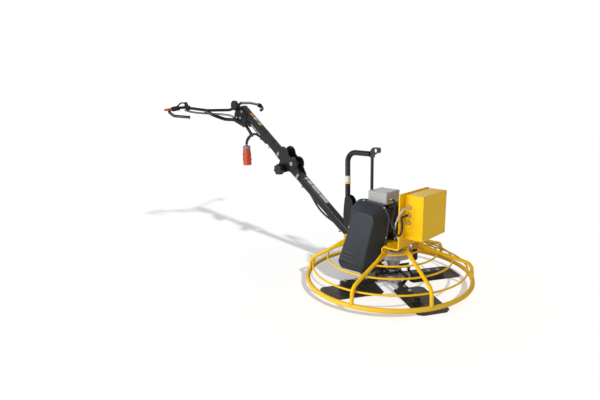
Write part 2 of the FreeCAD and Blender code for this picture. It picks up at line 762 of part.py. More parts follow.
def rounded(outline, y, shrink=0.0):
    """Rounded outline at y, with every side moved inwards by shrink."""
    count = len(outline)
    points = [V(x, y, z) for x, z, _ in outline]
    middle = V(sum(p.x for p in points) / count, y, sum(p.z for p in points) / count)

    def inward(start, end):
        side = end - start
        normal = unit(V(-side.z, 0, side.x))
        return normal if normal.dot(middle - start) >= 0 else normal * -1

    moved = []
    for i in range(count):
        first = inward(points[i - 1], points[i])
        second = inward(points[i], points[(i + 1) % count])
        moved.append(points[i] + (first + second) * (shrink / (1 + first.dot(second))))
    arcs = []
    for i in range(count):
        before, corner, after = moved[i - 1], moved[i], moved[(i + 1) % count]
        reach = 0.45 * min((before - corner).Length, (after - corner).Length)
        arcs.append(corner_arc(before, corner, after, max(outline[i][2] - shrink, 3), reach))
    edges = []
    for (start, bulge, end, _), following in zip(arcs, arcs[1:] + arcs[:1]):
        edges.append(Part.Arc(start, bulge, end).toShape())
        edges.append(Part.LineSegment(end, following[0]).toShape())
    return Part.Wire(edges)


rim_y, face_y, wall = size("guard_rim"), size("guard_face"), size("guard_wall")
shell = Part.makeLoft([rounded(RIM, rim_y), rounded(FACE, face_y)], True, True)
# guards the rounding of the face's edges, which the kernel may refuse on this loft
try:
    face_edges = [edge for edge in shell.Edges
                  if near(edge.BoundBox.YMin, face_y) and near(edge.BoundBox.YMax, face_y)]
    softened = shell.makeFillet(11.0, face_edges)
    if softened.isValid() and softened.Volume > 0:
        shell = softened
except Exception:
    pass
hollow = Part.makeLoft([rounded(RIM, rim_y + 0.5, wall),
                        rounded(FACE, face_y + wall, wall + 2)], True, True)
cover = shell.cut(hollow)
# outward rim that the screws pass through
rim_depth = V(0, -3.5, 0)
flange = Part.Face(rounded(RIM, rim_y, -9)).extrude(rim_depth)
flange = flange.cut(Part.Face(rounded(RIM, rim_y, 1.0)).extrude(rim_depth))
cover = fused(cover, flange)
# shallow slanted grooves low on the face
for z, first_x, last_x in GROOVES:
    groove = Part.makeBox(last_x - first_x + 40, 2.8, 9, V(-20, 0, -4.5))
    groove.rotate(V(0, 0, 0), ALONG_Y, 6)
    groove.translate(V(first_x, face_y - 0.2, z))
    cover = cover.cut(groove)
back = Part.Face(rounded(RIM, rim_y + 0.1, -9)).extrude(V(0, 3.0, 0))
# the lower rim is notched clear of the circle swept by the pressure plate
swept = Part.makeCylinder(139, 32, V(rotor_x, 0, size("press_low") - 10))
cover = cover.cut(swept)
back = back.cut(swept)
for centre in (motor_axis, worm_axis):
    back = back.cut(cylinder_y(40, 20, centre.x, rim_y - 5, centre.z))
screws = []
rim_middle = rounded(RIM, rim_y, -4.6)
for x, z in GUARD_SCREWS:
    spot = rim_middle.distToShape(Part.Vertex(V(x, rim_y, z)))[1][0][0]
    hole = cylinder_y(2.7, 20, spot.x, rim_y - 10, spot.z)
    cover = cover.cut(hole)
    back = back.cut(hole)
    screws.append(fused(cylinder_y(2.5, 11, spot.x, rim_y - 4, spot.z),
                        cylinder_y(5.2, 3, spot.x, rim_y - 6.7, spot.z)))
keep_shape("belt_guard_cover", solids_of(cover))
keep_shape("belt_guard_back", solids_of(back))

# =====================================================================
# 6. control box, its cover, glands and the two short leads
# =====================================================================
# x, z and bore of the glands on the near side; the last one is blank
GLANDS = [(211, 518, 4.6), (209, 476, 6.1), (208, 432, 0)]


def along_x_edge(edge):
    return runs_along(edge, ALONG_X)


body = new_body("control_box")
pad(body, draw(body, "YZ", "box_back", rect("-box_half", "box_half", "box_low", "box_top")),
    "box_front - box_back")
fillet(body, along_x_edge, 4)
pocket(body, draw(body, "YZ", "box_back + box_wall", rect(
    "-box_half + box_wall", "box_half - box_wall", "box_low + box_wall", "box_top - box_wall")),
    200)
pocket(body, draw(body, "XZ", "box_half - 6", circles=[
    (x, z, "gland_rad + 0.3") for x, z, _ in GLANDS]), 12)
keep("control_box", body)

body = new_body("control_box_cover")
pad(body, draw(body, "YZ", "box_front + 0.2", rect(
    "-box_half - 0.5", "box_half + 0.5", "box_low - 0.5", "box_top + 0.5")), "cover_depth")
cover_x = size("box_front") + 0.2 + size("cover_depth")
fillet(body, along_x_edge, 4.5)
fillet(body, lambda edge: near(edge.BoundBox.XMin, cover_x), 2.5)
pocket(body, draw(body, "YZ", "box_front", rect(
    "-box_half + 2.5", "box_half - 2.5", "box_low + 2.5", "box_top - 2.5")),
    "cover_depth - 2.3")
COVER_SCREWS = [(y, z) for y in ("-box_half + 12", "box_half - 12")
                for z in ("box_low + 12", "box_top - 12")]
pocket(body, draw(body, "YZ", "box_front - 1",
                  circles=[(y, z, 3.2) for y, z in COVER_SCREWS]), 30)
keep("control_box_cover", body)
for y, z in COVER_SCREWS:
    y, z = evaluate(y), evaluate(z)
    screws.append(fused(Part.makeCylinder(3.0, 12, V(cover_x - 10, y, z), ALONG_X),
                        Part.makeCylinder(5.6, 3.2, V(cover_x + 0.1, y, z), ALONG_X)))
keep_shape("cover_screws", Part.makeCompound(screws))

box_side = -size("box_half")


def build_gland(x, z, bore):
    outward = V(0, -1, 0)
    corners = [V(x + 14.5 * math.cos(math.radians(angle)), box_side - 0.1,
                 z + 14.5 * math.sin(math.radians(angle))) for angle in range(0, 360, 60)]
    hexagon = Part.Face(closed(corners)).extrude(V(0, -9, 0))
    gland = Part.makeCylinder(size("gland_rad"), 14, V(x, box_side + 8, z), outward)
    gland = gland.fuse(hexagon)
    gland = gland.fuse(Part.makeCone(13, 8.5, 12, V(x, box_side - 9.1, z), outward))
    gland = gland.fuse(cylinder_y(13.5, 3.5, x, box_side + 6, z))
    if bore:
        gland = gland.cut(Part.makeCylinder(bore, 60, V(x, box_side + 20, z), outward))
    return gland.removeSplitter()


keep_shape("cable_glands", Part.makeCompound([build_gland(*gland) for gland in GLANDS]))


def build_lead(node, gland, points, bends, radius):
    """Lead that leaves through a gland and follows the points."""
    x, z, _ = gland
    keep_shape(node, sweep(bent_wire([(x, box_side + 10, z)] + points, bends), radius))


build_lead("grey_lead", GLANDS[0], [
    (211, -194, 518), (184, -196, 474), (167, -194, 431), (157, -188, 391),
    (157, -160, 346), (138, -108, 304)], [20, 60, 60, 30, 30], 4.5)
build_lead("black_conduit", GLANDS[1], [
    (209, -210, 476), (219, -212, 438), (216, -212, 400), (202, -212, 373),
    (181, -212, 377), (168, -214, 410), (146, -207, 438), (118, -150, 460),
    (92, -92, 492), (68, -60, 524), (46, -60, 524)],
    [16, 40, 40, 16, 16, 20, 30, 40, 40, 30], 6.0)


# =====================================================================
# 7. handle column, foot, fold joint
# =====================================================================
def build_column(node, start, end):
    """Square tube of the column between two stations."""
    body = column_body(node)
    pad(body, draw(body, "YZ", start,
                   rect("-column_half", "column_half", "-column_half", "column_half")),
        end + " - (" + start + ")")
    fillet(body, lambda edge: edge.Length > 100, "column_round")
    low, high = "-column_half + column_wall", "column_half - column_wall"
    pocket(body, draw(body, "YZ", start + " - 1", rect(low, high, low, high)), 2000)
    keep(node, body)


build_column("lower_column", "column_start", "column_split_low")
build_column("upper_column", "column_split_up", "column_end")


def lug_pair(node, discs, outline, holes, inner, packing=None):
    """Two mirrored flat lugs drawn in the column frame, with optional packing inside."""
    lugs = []
    packing_in, packing_out = 25.15, size(inner) + 1
    for suffix, offset, packing_offset in (
            ("_far", inner, packing_in), ("_near", "-%s - lug_thick" % inner, -packing_out)):
        body = column_body(node + suffix)
        pad(body, draw(body, "XY", offset, outline), "lug_thick")
        for disc in discs:
            pad(body, draw(body, "XY", offset, circles=[disc]), "lug_thick")
        if packing:
            pad(body, draw(body, "XY", packing_offset, packing), packing_out - packing_in)
        pocket(body, draw(body, "XY", -60, circles=holes), 120)
        lugs.append(body)
    return lugs


FOLD_LOBE = ("fold_at", "fold_up", "lobe_rad")
FOLD_HOLE = ("fold_at", "fold_up", "fold_pin_rad + run_gap")
CLAMP_HOLE = ("clamp_at", "clamp_up", "clamp_bolt_rad + run_gap")
keep_group("fold_bracket_lower", lug_pair(
    "fold_lug_low", [FOLD_LOBE],
    [(492, -22), (492, 22), (556, 52), (640, 42), (672, -36), (670, -78), (632, -80),
     (590, -24)],
    [FOLD_HOLE, CLAMP_HOLE], "lug_low_in"))
bolt_edge = "clamp_at + clamp_bolt_rad + 0.3"
keep_group("fold_bracket_upper", lug_pair(
    "fold_lug_up", [FOLD_LOBE, (703, 38, 49)],
    [(600, -4), (602, 60), (700, 70), (762, 22), (762, -22), (700, -23), (694, -82),
     (bolt_edge, -82), (bolt_edge, -24), (630, -14)],
    [FOLD_HOLE], "lug_up_in", [(700, -15), (700, 17), (758, 17), (758, -15)]))


def disc_stack(body, x, y, discs):
    """Pad discs of (z, radius, thickness) about one point of the column frame."""
    for z, radius, thickness in discs:
        pad(body, draw(body, "XY", z, circles=[(x, y, radius)]), thickness)


body = column_body("fold_pin")
disc_stack(body, "fold_at", "fold_up", [(-44, "fold_pin_rad", 88), (-44, 14, 5.8),
                                        (38.2, 14, 5.8)])
keep("fold_pin", body)

# lobed knob with its clamp bolt
body = column_body("fold_knob")
disc_stack(body, "clamp_at", "clamp_up", [
    (-50, "clamp_bolt_rad", 92), (-49, 15, 10.6),
    ("-48 - knob_thick", "knob_rad - 6", "knob_thick")])
for k in range(7):
    angle = 2 * math.pi * k / 7
    lobe = ("clamp_at + %f" % (28.5 * math.cos(angle)),
            "clamp_up + %f" % (28.5 * math.sin(angle)), 9.5)
    pad(body, draw(body, "XY", "-48 - knob_thick", circles=[lobe]), "knob_thick")
disc_stack(body, "clamp_at", "clamp_up", [(38.2, 11, 6)])
# rounds any edges found at this level of local y; dropped again when the fillet fails
knob_level = -48 - size("knob_thick")
before = body.Tip
rounding = fillet(body, lambda edge: (near(edge.BoundBox.YMin, knob_level)
                                      and near(edge.BoundBox.YMax, knob_level)), 3)
if ("Invalid" in rounding.State or "Error" in rounding.State
        or rounding.Shape.isNull() or not rounding.Shape.isValid()):
    body.Tip = before
    doc.removeObject(rounding.Name)
    doc.recompute()
keep("fold_knob", body)

# brackets of the column foot, then those of the lifting bale: outlines of (x, z)
FOOT_BRACKET = [(-203, 275.7), (-212, 180), (-226, 172), (-200, 128), (-160, 118),
                (-150, 150), (-140, 275.7)]
BALE_BRACKET = [(-345, column_top(-345, 25.4)), (-345, 372), (-341, 420), (-333, 478),
                (-314, 494), (-293, 488), (-275, 466), (-269, 436), (-274, 395),
                (-262, 330), (-250, column_top(-250, 25.4))]
brackets = [plate_xz(FOOT_BRACKET, y, 6) for y in (25.2, -31.2)]
brackets += [plate_xz(BALE_BRACKET, y, 4) for y in (16.9, -20.9)]
keep_shape("column_brackets", Part.makeCompound(brackets))

# lifting bale: bent tube standing on the column
bale_x, bale_top = size("bale_x"), size("bale_top")
bale_foot = column_top(bale_x - size("bale_rad"), 25.2) + 1.0
bale_wire = bent_wire([(bale_x, 0, bale_foot), (bale_x, 0, bale_top), (-152, 0, bale_top)],
                      [62])
keep_shape("lifting_bale", solids_of(bent_tube(bale_wire, size("bale_rad"), size("bale_bore"))))

# post on the -X side of the motor with the lifting eye plate on its head
EYE_PLATE = [(-151, 744), (-151.5, 780), (-134, 803), (-112, 807), (-82, 806), (-78, 790),
             (-80, 776), (-104, 771), (-120, 760), (-124, 744)]
plate_top = plate_low + size("plate_thick")
post = Part.makeCylinder(9.5, 748 - plate_top - 0.3, V(-137, 0, plate_top + 0.2))
post_foot = Part.makeBox(34, 44, 6, V(-160, -22, plate_top + 0.2))
eye = plate_xz(EYE_PLATE, -size("eye_thick") / 2, size("eye_thick"))
eye = eye.cut(cylinder_y(size("eye_rad"), 40, size("eye_x"), -20, size("eye_z")))
keep_shape("bale_post", fused(post, post_foot, eye))

# =====================================================================
# 8. head plate, handlebar, controls
# =====================================================================
# (x, z) of the two cheeks, and of the web that joins them at the operator's end
HEAD = [(-1352, 1030), (-1268, 978), (-1311, 884), (-1428, 926), (-1420, 985), (-1400, 1018)]
HEAD_WEB = [(-1428, 926), (-1420, 985), (-1414, 985), (-1422, 928)]
head = plate_xz(HEAD, 25.3, 6).fuse(plate_xz(HEAD, -31.3, 6)).fuse(
    plate_xz(HEAD_WEB, -31.3, 62.6))

# corners of the handlebar axis from the far end to the near end, and their bend radii
BAR = [V(*point) for point in (
    (-1569, 350, 1008), (-1622, 412, 1012), (-1650, 436, 1030), (-1606, 350, 1054),
    (-1525, 200, 1066), (-1432, 44, 1064), (-1412, 0, 1045), (-1449, -44, 1012),
    (-1521, -200, 1010), (-1593, -350, 1033), (-1652, -446, 1012), (-1606, -420, 972),
    (-1520, -350, 963))]
BAR_BENDS = [26, 24, 70, 200, 60, 40, 60, 150, 150, 26, 30]
bar_rad, bar_bore = size("bar_rad"), size("bar_bore")
bar_wire = bent_wire(BAR, BAR_BENDS)
bar_space = sweep(bar_wire, bar_rad + 0.15)
keep_shape("handlebar", solids_of(bent_tube(bar_wire, bar_rad, bar_bore)))

# clamp block on the column head that holds the bar
clamp = Part.makeBox(60, 50, 66, V(-1442, -25, 1010))
clamp = clamp.fuse(cylinder_y(36, 50, -1390, -25, 1046))
clamp = clamp.fuse(Part.makeBox(40, 50, 40, V(-1418, -25, 985)))
clamp = clamp.cut(bar_space)
column_space = Part.makeBox(1400, 50.4, 50.4, V(0, -25.2, -25.2))
column_space.Placement = COLUMN
clamp = clamp.cut(column_space)
head = head.fuse(largest(clamp))
head = head.cut(cylinder_y(5.1, 30, -1390, -50, 1046)).removeSplitter()
keep_shape("head_bracket", solids_of(head))

# brace from the head bracket to the near side of the bar
brace_wire = bent_wire([(-1392, -38, 940), (-1446, -100, 944), (-1450, -190, 974),
                        (-1508, -222, 1006)], [40, 40])
brace = bent_tube(brace_wire, bar_rad, bar_bore).cut(bar_space)
brace = brace.cut(Part.makeBox(200, 60, 200, V(-1500, -31.4, 850)))
keep_shape("bar_brace", largest(brace))


def build_grip(first, second, start, end):
    """Sleeve between two fractions of the straight from first to second."""
    base = first + (second - first) * start
    axis = first + (second - first) * end - base
    sleeve = Part.makeCylinder(size("grip_rad"), axis.Length, base, axis)
    bore = Part.makeCylinder(bar_rad + 0.12, axis.Length + 2, base - unit(axis), axis)
    return solids_of(sleeve.cut(bore))


keep_shape("handle_grips", Part.makeCompound([build_grip(BAR[9], BAR[10], 0.22, 0.69),
                                              build_grip(BAR[2], BAR[3], 0.45, 0.84)]))

# dead-man lever: pivots above the bar and runs above the near grip
bar_along = unit(BAR[9] - BAR[8])
across = unit(bar_along.cross(UP))
bracket_centre = BAR[9] - bar_along * 34
pivot = bracket_centre + bar_along * 12 + V(0, 0, 31)
lever = sweep(bent_wire([pivot, bracket_centre + bar_along * 46 + V(12.6, -6, 30),
                         (-1592, -412, 1026), (-1618, -481, 1013)], [22, 40]), 5.0)
lever = lever.fuse(Part.makeCylinder(7, 22, pivot - across * 11, across))
lever = lever.cut(Part.makeCylinder(3.05, 60, pivot - across * 30, across)).removeSplitter()
keep_shape("deadman_lever", solids_of(lever))

# its bracket: collar on the near bar, a cheek either side of the lever, and the pin
bracket = Part.makeCylinder(27, 7, bracket_centre, bar_along)
bracket = bracket.fuse(Part.makeCylinder(18, 26, bracket_centre - bar_along * 13, bar_along))
bracket = solids_of(bracket.cut(bar_space))
level_along = unit(V(bar_along.x, bar_along.y, 0))
cheek_rotation = Rotation(level_along, level_along.cross(V(0, 0, -1)), UP, "XYZ")
for shift in (15.4, -11.4):
    cheek = Part.makeBox(20, 4, 34, V(-10, 0, 0))
    cheek.Placement = Placement(pivot - V(0, 0, 25) + across * shift, cheek_rotation)
    bracket = bracket.fuse(cheek)
bracket = largest(bracket.cut(bar_space))
bracket = fused(bracket, Part.makeCylinder(3.0, 34, pivot - across * 17, across))
keep_shape("lever_bracket", solids_of(bracket))

# pitch wheel on a stub at the near side of the head
body = new_body("pitch_wheel", (-1390, 0, 1046))
pad(body, draw(body, "XZ", 19.5, circles=[(0, 0, 5)]), 22)
pad(body, draw(body, "XZ", 36, circles=[(0, 0, 36)]), 20)
notch = pocket(body, draw(body, "XZ", 34, circles=[(38, 0, 5)]), 24)
polar(body, notch, 10, "Y_Axis")
keep("pitch_wheel", body)


# =====================================================================
# 9. mains cable in two lengths, plug
# =====================================================================
def build_cable(node, points):
    curve = Part.BSplineCurve()
    curve.interpolate(points)
    keep_shape(node, sweep(Part.Wire([curve.toShape()]), 6.5))


# points in space near the plug, then (along, above) the column axis
PLUG_RUN = [(-1331, 0, 753.5), (-1330.6, 0, 766), (-1326, 0, 785), (-1309, 0, 806)]
UPPER_RUN = [(1068, -92), (1035, -66), (975, -45), (890, -35), (780, -35), (700, -36)]
LOWER_RUN = [(520, -36), (440, -34), (395, -34), (340, -44), (280, -58), (215, -62),
             (150, -52), (95, -38), (40, -34), (-40, -34), (-120, -36)]
build_cable("mains_cable_upper",
            [V(*point) for point in PLUG_RUN] + [on_column(*point) for point in UPPER_RUN])
build_cable("mains_cable_lower", [on_column(*point) for point in LOWER_RUN])

body = turned("mains_plug", ("plug_x", 0, 0), Rotation(), [
    (0, 752), (8, 752), (13, 748), (24, 743), (25, 722), (28, 716),
    ("plug_rad - 2", 700), ("plug_rad - 1", 650), ("plug_rad + 3", 648),
    ("plug_rad + 3", 634), ("plug_rad", 632), ("plug_rad", 600),
    ("plug_rad - 2.5", "plug_low"), (25, "plug_low"), (25, 634), (0, 634)])
contact = pad(body, draw(body, "XY", "plug_low + 6", circles=[(14, 0, 3)]), 32)
polar(body, contact, 4)
keep("mains_plug", body)

# =====================================================================
# 10. rotor: spider, arms, blades
# =====================================================================
ARM_ANGLES = [-33 + 90 * k for k in range(4)]
arm_directions = [V(math.cos(math.radians(angle)), math.sin(math.radians(angle)), 0)
                  for angle in ARM_ANGLES]
arm_z, hub_low, hub_top = size("arm_z"), size("hub_low"), size("hub_top")
hub = Part.makeCylinder(size("hub_rad") - 14, hub_top - hub_low, V(0, 0, hub_low))
for direction in arm_directions:
    hub = hub.fuse(Part.makeCylinder(19, 106, V(0, 0, arm_z + 2), direction))
hub = hub.fuse(Part.makeCone(40, 22, 8, V(0, 0, hub_top - 0.5)))
# flat underside, arm sockets, shaft bore
hub = hub.cut(Part.makeBox(400, 400, hub_low + 2, V(-200, -200, -2)))
for direction in arm_directions:
    hub = hub.cut(Part.makeCylinder(size("arm_rad") + 0.05, 70,
                                    direction * 56 + V(0, 0, arm_z), direction))
hub = hub.cut(Part.makeCylinder(size("shaft_rad") + 0.02, 100, V(0, 0, 0)))
hub.translate(V(rotor_x, 0, 0))
keep_shape("spider_hub", solids_of(hub.removeSplitter()))


def build_blade(number, base, rotation):
    node = "blade_%d" % number
    # flat sheet with clipped and rounded corners
    blade = new_body(node + "_sheet", base, rotation)
    pad(blade, draw(blade, "XY", 0, [
        ("blade_in + 14", "blade_lead"), ("blade_out - 18", "blade_lead"),
        ("blade_out", "blade_lead + 26"), ("blade_out", "blade_trail - 30"),
        ("blade_out - 26", "blade_trail"), ("blade_in + 24", "blade_trail"),
        ("blade_in", "blade_trail - 22"), ("blade_in", "blade_lead + 14")]), "blade_thick")
    fillet(blade, upright, 12)
    # flanged bar on top of the sheet
    stiffener = new_body(node + "_bar", base, rotation)
    pad(stiffener, draw(stiffener, "YZ", "bar_in", [
        ("-bar_half - 12", "blade_thick + 0.05"), ("bar_half + 12", "blade_thick + 0.05"),
        ("bar_half + 12", 7), ("bar_half", 9), ("bar_half", "bar_top"),
        ("-bar_half", "bar_top"), ("-bar_half", 9), ("-bar_half - 12", 7)]),
        "bar_out - bar_in")
    keep_group(node, [blade, stiffener])


def build_arm(number, base, rotation):
    """Round bar in the spider socket, cast beam outside it, pitch lever beside it."""
    body = new_body("arm_%d_bar" % number, base, rotation)
    pad(body, draw(body, "YZ", "arm_in - 8", circles=[(0, "arm_z", "arm_rad")]),
        "arm_out - arm_in + 8")
    pad(body, draw(body, "YZ", "bar_in + 4", [
        (-19, "bar_top + 0.05"), (19, "bar_top + 0.05"), (19, 34), (13, 45), (-13, 45),
        (-19, 34)]), "arm_out - bar_in - 4")
    # pitch lever on the trailing side; the pressure plate pushes on its round nose
    pad(body, draw(body, "YZ", "lever_at - 6", [
        (-10, "arm_z - 8"), (10, "arm_z - 8"), ("lever_reach + 4", "arm_z + 26"),
        ("lever_reach", "arm_z + 33"), ("lever_reach - 7", "arm_z + 31"),
        (-10, "arm_z + 8")]), 12)
    nose = ("lever_reach", "arm_z + 30", "lever_pin")
    pad(body, draw(body, "YZ", "lever_at - 6", circles=[nose]), 12)
    keep("trowel_arm_%d" % number, body)


for number, angle in enumerate(ARM_ANGLES, 1):
    build_blade(number, ("rotor_x", 0, 0), Rotation(UP, angle))
    build_arm(number, ("rotor_x", 0, 0), Rotation(UP, angle))

# =====================================================================
# 11. pitch control: pressure plate, thrust collar, yoke
# =====================================================================
press_low, press_thick, pad_low = size("press_low"), size("press_thick"), size("pad_low")
lever_at, finger_y = size("lever_at"), size("lever_reach") - 9
press = Part.makeCylinder(size("press_rad"), press_thick, V(0, 0, press_low))
for angle in ARM_ANGLES:
    # a finger out to the lever nose, and the pad under its tip
    for piece in (Part.makeBox(lever_at + 9 - 30, 18, press_thick, V(30, finger_y, press_low)),
                  Part.makeBox(18, 18, press_low - pad_low + 1,
                               V(lever_at - 9, finger_y, pad_low))):
        piece.rotate(V(0, 0, 0), UP, angle)
        press = press.fuse(piece)
press = press.cut(Part.makeCylinder(size("shaft_rad") + size("run_gap"), 60, V(0, 0, 50)))
press.translate(V(rotor_x, 0, 0))
keep_shape("pressure_plate", solids_of(press.removeSplitter()))

body = new_body("thrust_collar", ("rotor_x", 0, 0))
pad(body, draw(body, "XY", "collar_low",
               circles=[(0, 0, "collar_out"), (0, 0, "shaft_rad + run_gap")]), "collar_thick")
fillet(body, lambda edge: (edge.BoundBox.ZMin > size("collar_low") + 5
                           and edge.BoundBox.XLength > 70), 1.5)
keep("thrust_collar", body)

# yoke: two tines joined by the pivot tube at -X and a cross bar at +X
yoke_x, yoke_z, yoke_pin_rad = size("yoke_x"), size("yoke_z"), size("yoke_pin_rad")
tine_in, tine_out = size("tine_in"), size("tine_out")
TINE = [(yoke_x - 4, yoke_z + 7), (yoke_x - 4, yoke_z - 7), (-2, 101), (56, 101),
        (112, 124), (112, 134), (52, 111), (0, 111)]
tines = [plate_xz(TINE, y, tine_out - tine_in).fuse(
    cylinder_y(8, tine_out - tine_in, rotor_x, y, 103.8)) for y in (tine_in, -tine_out)]
yoke = tines[0].fuse(tines[1]).fuse(cylinder_y(12, 100, yoke_x, -50, yoke_z))
yoke = yoke.fuse(cylinder_y(5, 2 * tine_out, 107, -tine_out, 127))
# short tail towards -X, turned upwards
yoke = yoke.fuse(Part.makeBox(34, 10, 10, V(yoke_x - 30, -5, yoke_z - 5)))
yoke = yoke.fuse(Part.makeBox(8, 10, 34, V(yoke_x - 30, -5, yoke_z + 2)))
yoke = yoke.cut(cylinder_y(yoke_pin_rad + size("run_gap"), 140, yoke_x, -70, yoke_z))
keep_shape("pitch_yoke", solids_of(yoke.removeSplitter()))
frame_bolts.append(fused(cylinder_y(yoke_pin_rad, 128, yoke_x, -64, yoke_z),
                         cylinder_y(10, 5, yoke_x, -67.1, yoke_z),
                         cylinder_y(10, 5, yoke_x, 62.1, yoke_z)))

# lower gearbox shell: cast ears that carry the yoke pin are added to the half case
EAR = [(yoke_x - 14, yoke_z - 10), (yoke_x + 14, yoke_z - 10), (yoke_x + 30, 176),
       (yoke_x - 14, 176)]
lower_shell = lower_half.Shape
for y in (51.5, -61.5):
    pin_hole = cylinder_y(yoke_pin_rad + 0.02, 140, yoke_x, -70, yoke_z)
    lower_shell = lower_shell.fuse(plate_xz(EAR, y, 10).cut(pin_hole))
lower_shell = lower_shell.cut(cylinder_y(29, 148, worm_axis.x, -74, worm_axis.z))
keep_shape("gear_case_lower", solids_of(lower_shell.removeSplitter()))

# motor foot bolts and gearbox bolts join the leg bolts and the yoke pin
foot_top = size("motor_z") - 111.8 + 13.1
for x, y in FOOT_BOLTS:
    frame_bolts.append(fused(Part.makeCylinder(5.0, foot_top - 270, V(x, y, 270)),
                             Part.makeCylinder(8.8, 6.5, V(x, y, foot_top)),
                             Part.makeCylinder(8.8, 6.0, V(x, y, 269.8))))
head_z = plate_top + 0.1
for x, y in GEAR_BOLTS:
    frame_bolts.append(fused(Part.makeCylinder(4.0, 28, V(x, y, head_z - 28)),
                             Part.makeCylinder(6.5, 5.9, V(x, y, head_z))))
keep_shape("frame_bolts", Part.makeCompound(frame_bolts))

# =====================================================================
# 12. validity of every object, then one STEP file per piece
# =====================================================================
doc.recompute()
faults = []
for obj in doc.Objects:
    state = list(getattr(obj, "State", []))
    if "Invalid" in state or "Error" in state:
        faults.append("%s state %s" % (obj.Name, state))
for node, obj in OUT.items():
    shape = obj.Shape
    if shape.isNull() or not shape.isValid() or len(shape.Solids) == 0:
        faults.append("%s shape is not a valid solid" % node)
    elif min(solid.Volume for solid in shape.Solids) <= 0:
        faults.append("%s has an empty solid" % node)
if faults:
    raise RuntimeError("; ".join(faults))
os.makedirs("parts", exist_ok=True)
for node, obj in OUT.items():
    obj.Shape.exportStep(os.path.join("parts", node + ".step"))
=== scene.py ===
"""Walk-behind machine with a four-armed rotor inside a round guard.

The floor is z = 0 and the guard ring is centred on the Z axis. The handle column climbs
towards -X, and Y runs across the machine. Units are metres, except that point(), path()
and column() take millimetres. The CAD pieces get materials; small details are added.
"""
import bpy, bmesh, json, math
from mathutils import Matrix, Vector


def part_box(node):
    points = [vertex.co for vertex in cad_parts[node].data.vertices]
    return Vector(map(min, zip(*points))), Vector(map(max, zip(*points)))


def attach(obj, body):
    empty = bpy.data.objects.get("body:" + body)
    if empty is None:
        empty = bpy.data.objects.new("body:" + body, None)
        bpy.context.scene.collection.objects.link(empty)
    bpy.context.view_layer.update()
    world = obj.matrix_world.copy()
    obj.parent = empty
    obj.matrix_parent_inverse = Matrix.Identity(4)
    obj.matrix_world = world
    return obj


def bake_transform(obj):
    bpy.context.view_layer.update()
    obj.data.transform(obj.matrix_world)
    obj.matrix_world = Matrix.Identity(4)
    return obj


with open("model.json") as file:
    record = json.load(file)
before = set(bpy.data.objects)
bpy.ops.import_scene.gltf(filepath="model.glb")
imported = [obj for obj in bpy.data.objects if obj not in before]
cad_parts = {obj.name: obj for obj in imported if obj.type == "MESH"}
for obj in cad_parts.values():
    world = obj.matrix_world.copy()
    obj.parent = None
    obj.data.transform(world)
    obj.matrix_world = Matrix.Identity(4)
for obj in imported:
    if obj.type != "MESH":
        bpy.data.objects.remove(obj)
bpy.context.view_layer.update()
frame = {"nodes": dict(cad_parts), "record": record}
record = frame["record"]
joints = {joint["name"]: joint for joint in record["behaviour"]["joints"]}
scene = bpy.context.scene


# ------------------------------------------------------------------ materials
class Graph:
    """Adds and links the shader nodes of one material or world."""

    def __init__(self, owner):
        owner.use_nodes = True
        self.tree = owner.node_tree

    def feed(self, socket, value):
        """Link an output into the socket, or set the socket to a plain value."""
        if isinstance(value, bpy.types.NodeSocket):
            self.tree.links.new(value, socket)
        else:
            socket.default_value = value

    def add(self, kind, *feeds, out=0, **settings):
        """Add a node and return one output. Feeds fill the inputs in order;
        lowercase settings are properties, capitalised ones are inputs."""
        node = self.tree.nodes.new("ShaderNode" + kind)
        for key, value in settings.items():
            if key[0].islower():
                setattr(node, key, value)
            else:
                self.feed(node.inputs[key.replace("_", " ")], value)
        for socket, value in zip(node.inputs, feeds):
            self.feed(socket, value)
        return node.outputs[out]

    def noise(self, vector, scale, detail, **more):
        return self.add("TexNoise", Vector=vector, Scale=scale, Detail=detail, **more)

    def remap(self, value, source=(0, 1), target=(0, 1)):
        return self.add("MapRange", value, From_Min=source[0], From_Max=source[1],
                        To_Min=target[0], To_Max=target[1])

    def multiply(self, first, second):
        return self.add("Math", first, second, operation="MULTIPLY")

    def mix(self, factor, first, second, blend_type="MIX"):
        node = self.tree.nodes.new("ShaderNodeMix")
        node.data_type = "RGBA"
        node.blend_type = blend_type
        # inputs 0, 6 and 7 and output 2 are the colour version's sockets
        for index, value in ((0, factor), (6, first), (7, second)):
            self.feed(node.inputs[index], value)
        return node.outputs[2]

    def finish(self, shader):
        output = self.tree.nodes.new("ShaderNodeOutputMaterial")
        self.feed(output.inputs[0], shader)


def new_material(name):
    material = bpy.data.materials.new(name)
    graph = Graph(material)
    graph.tree.nodes.clear()
    return material, graph


MATERIALS = {}


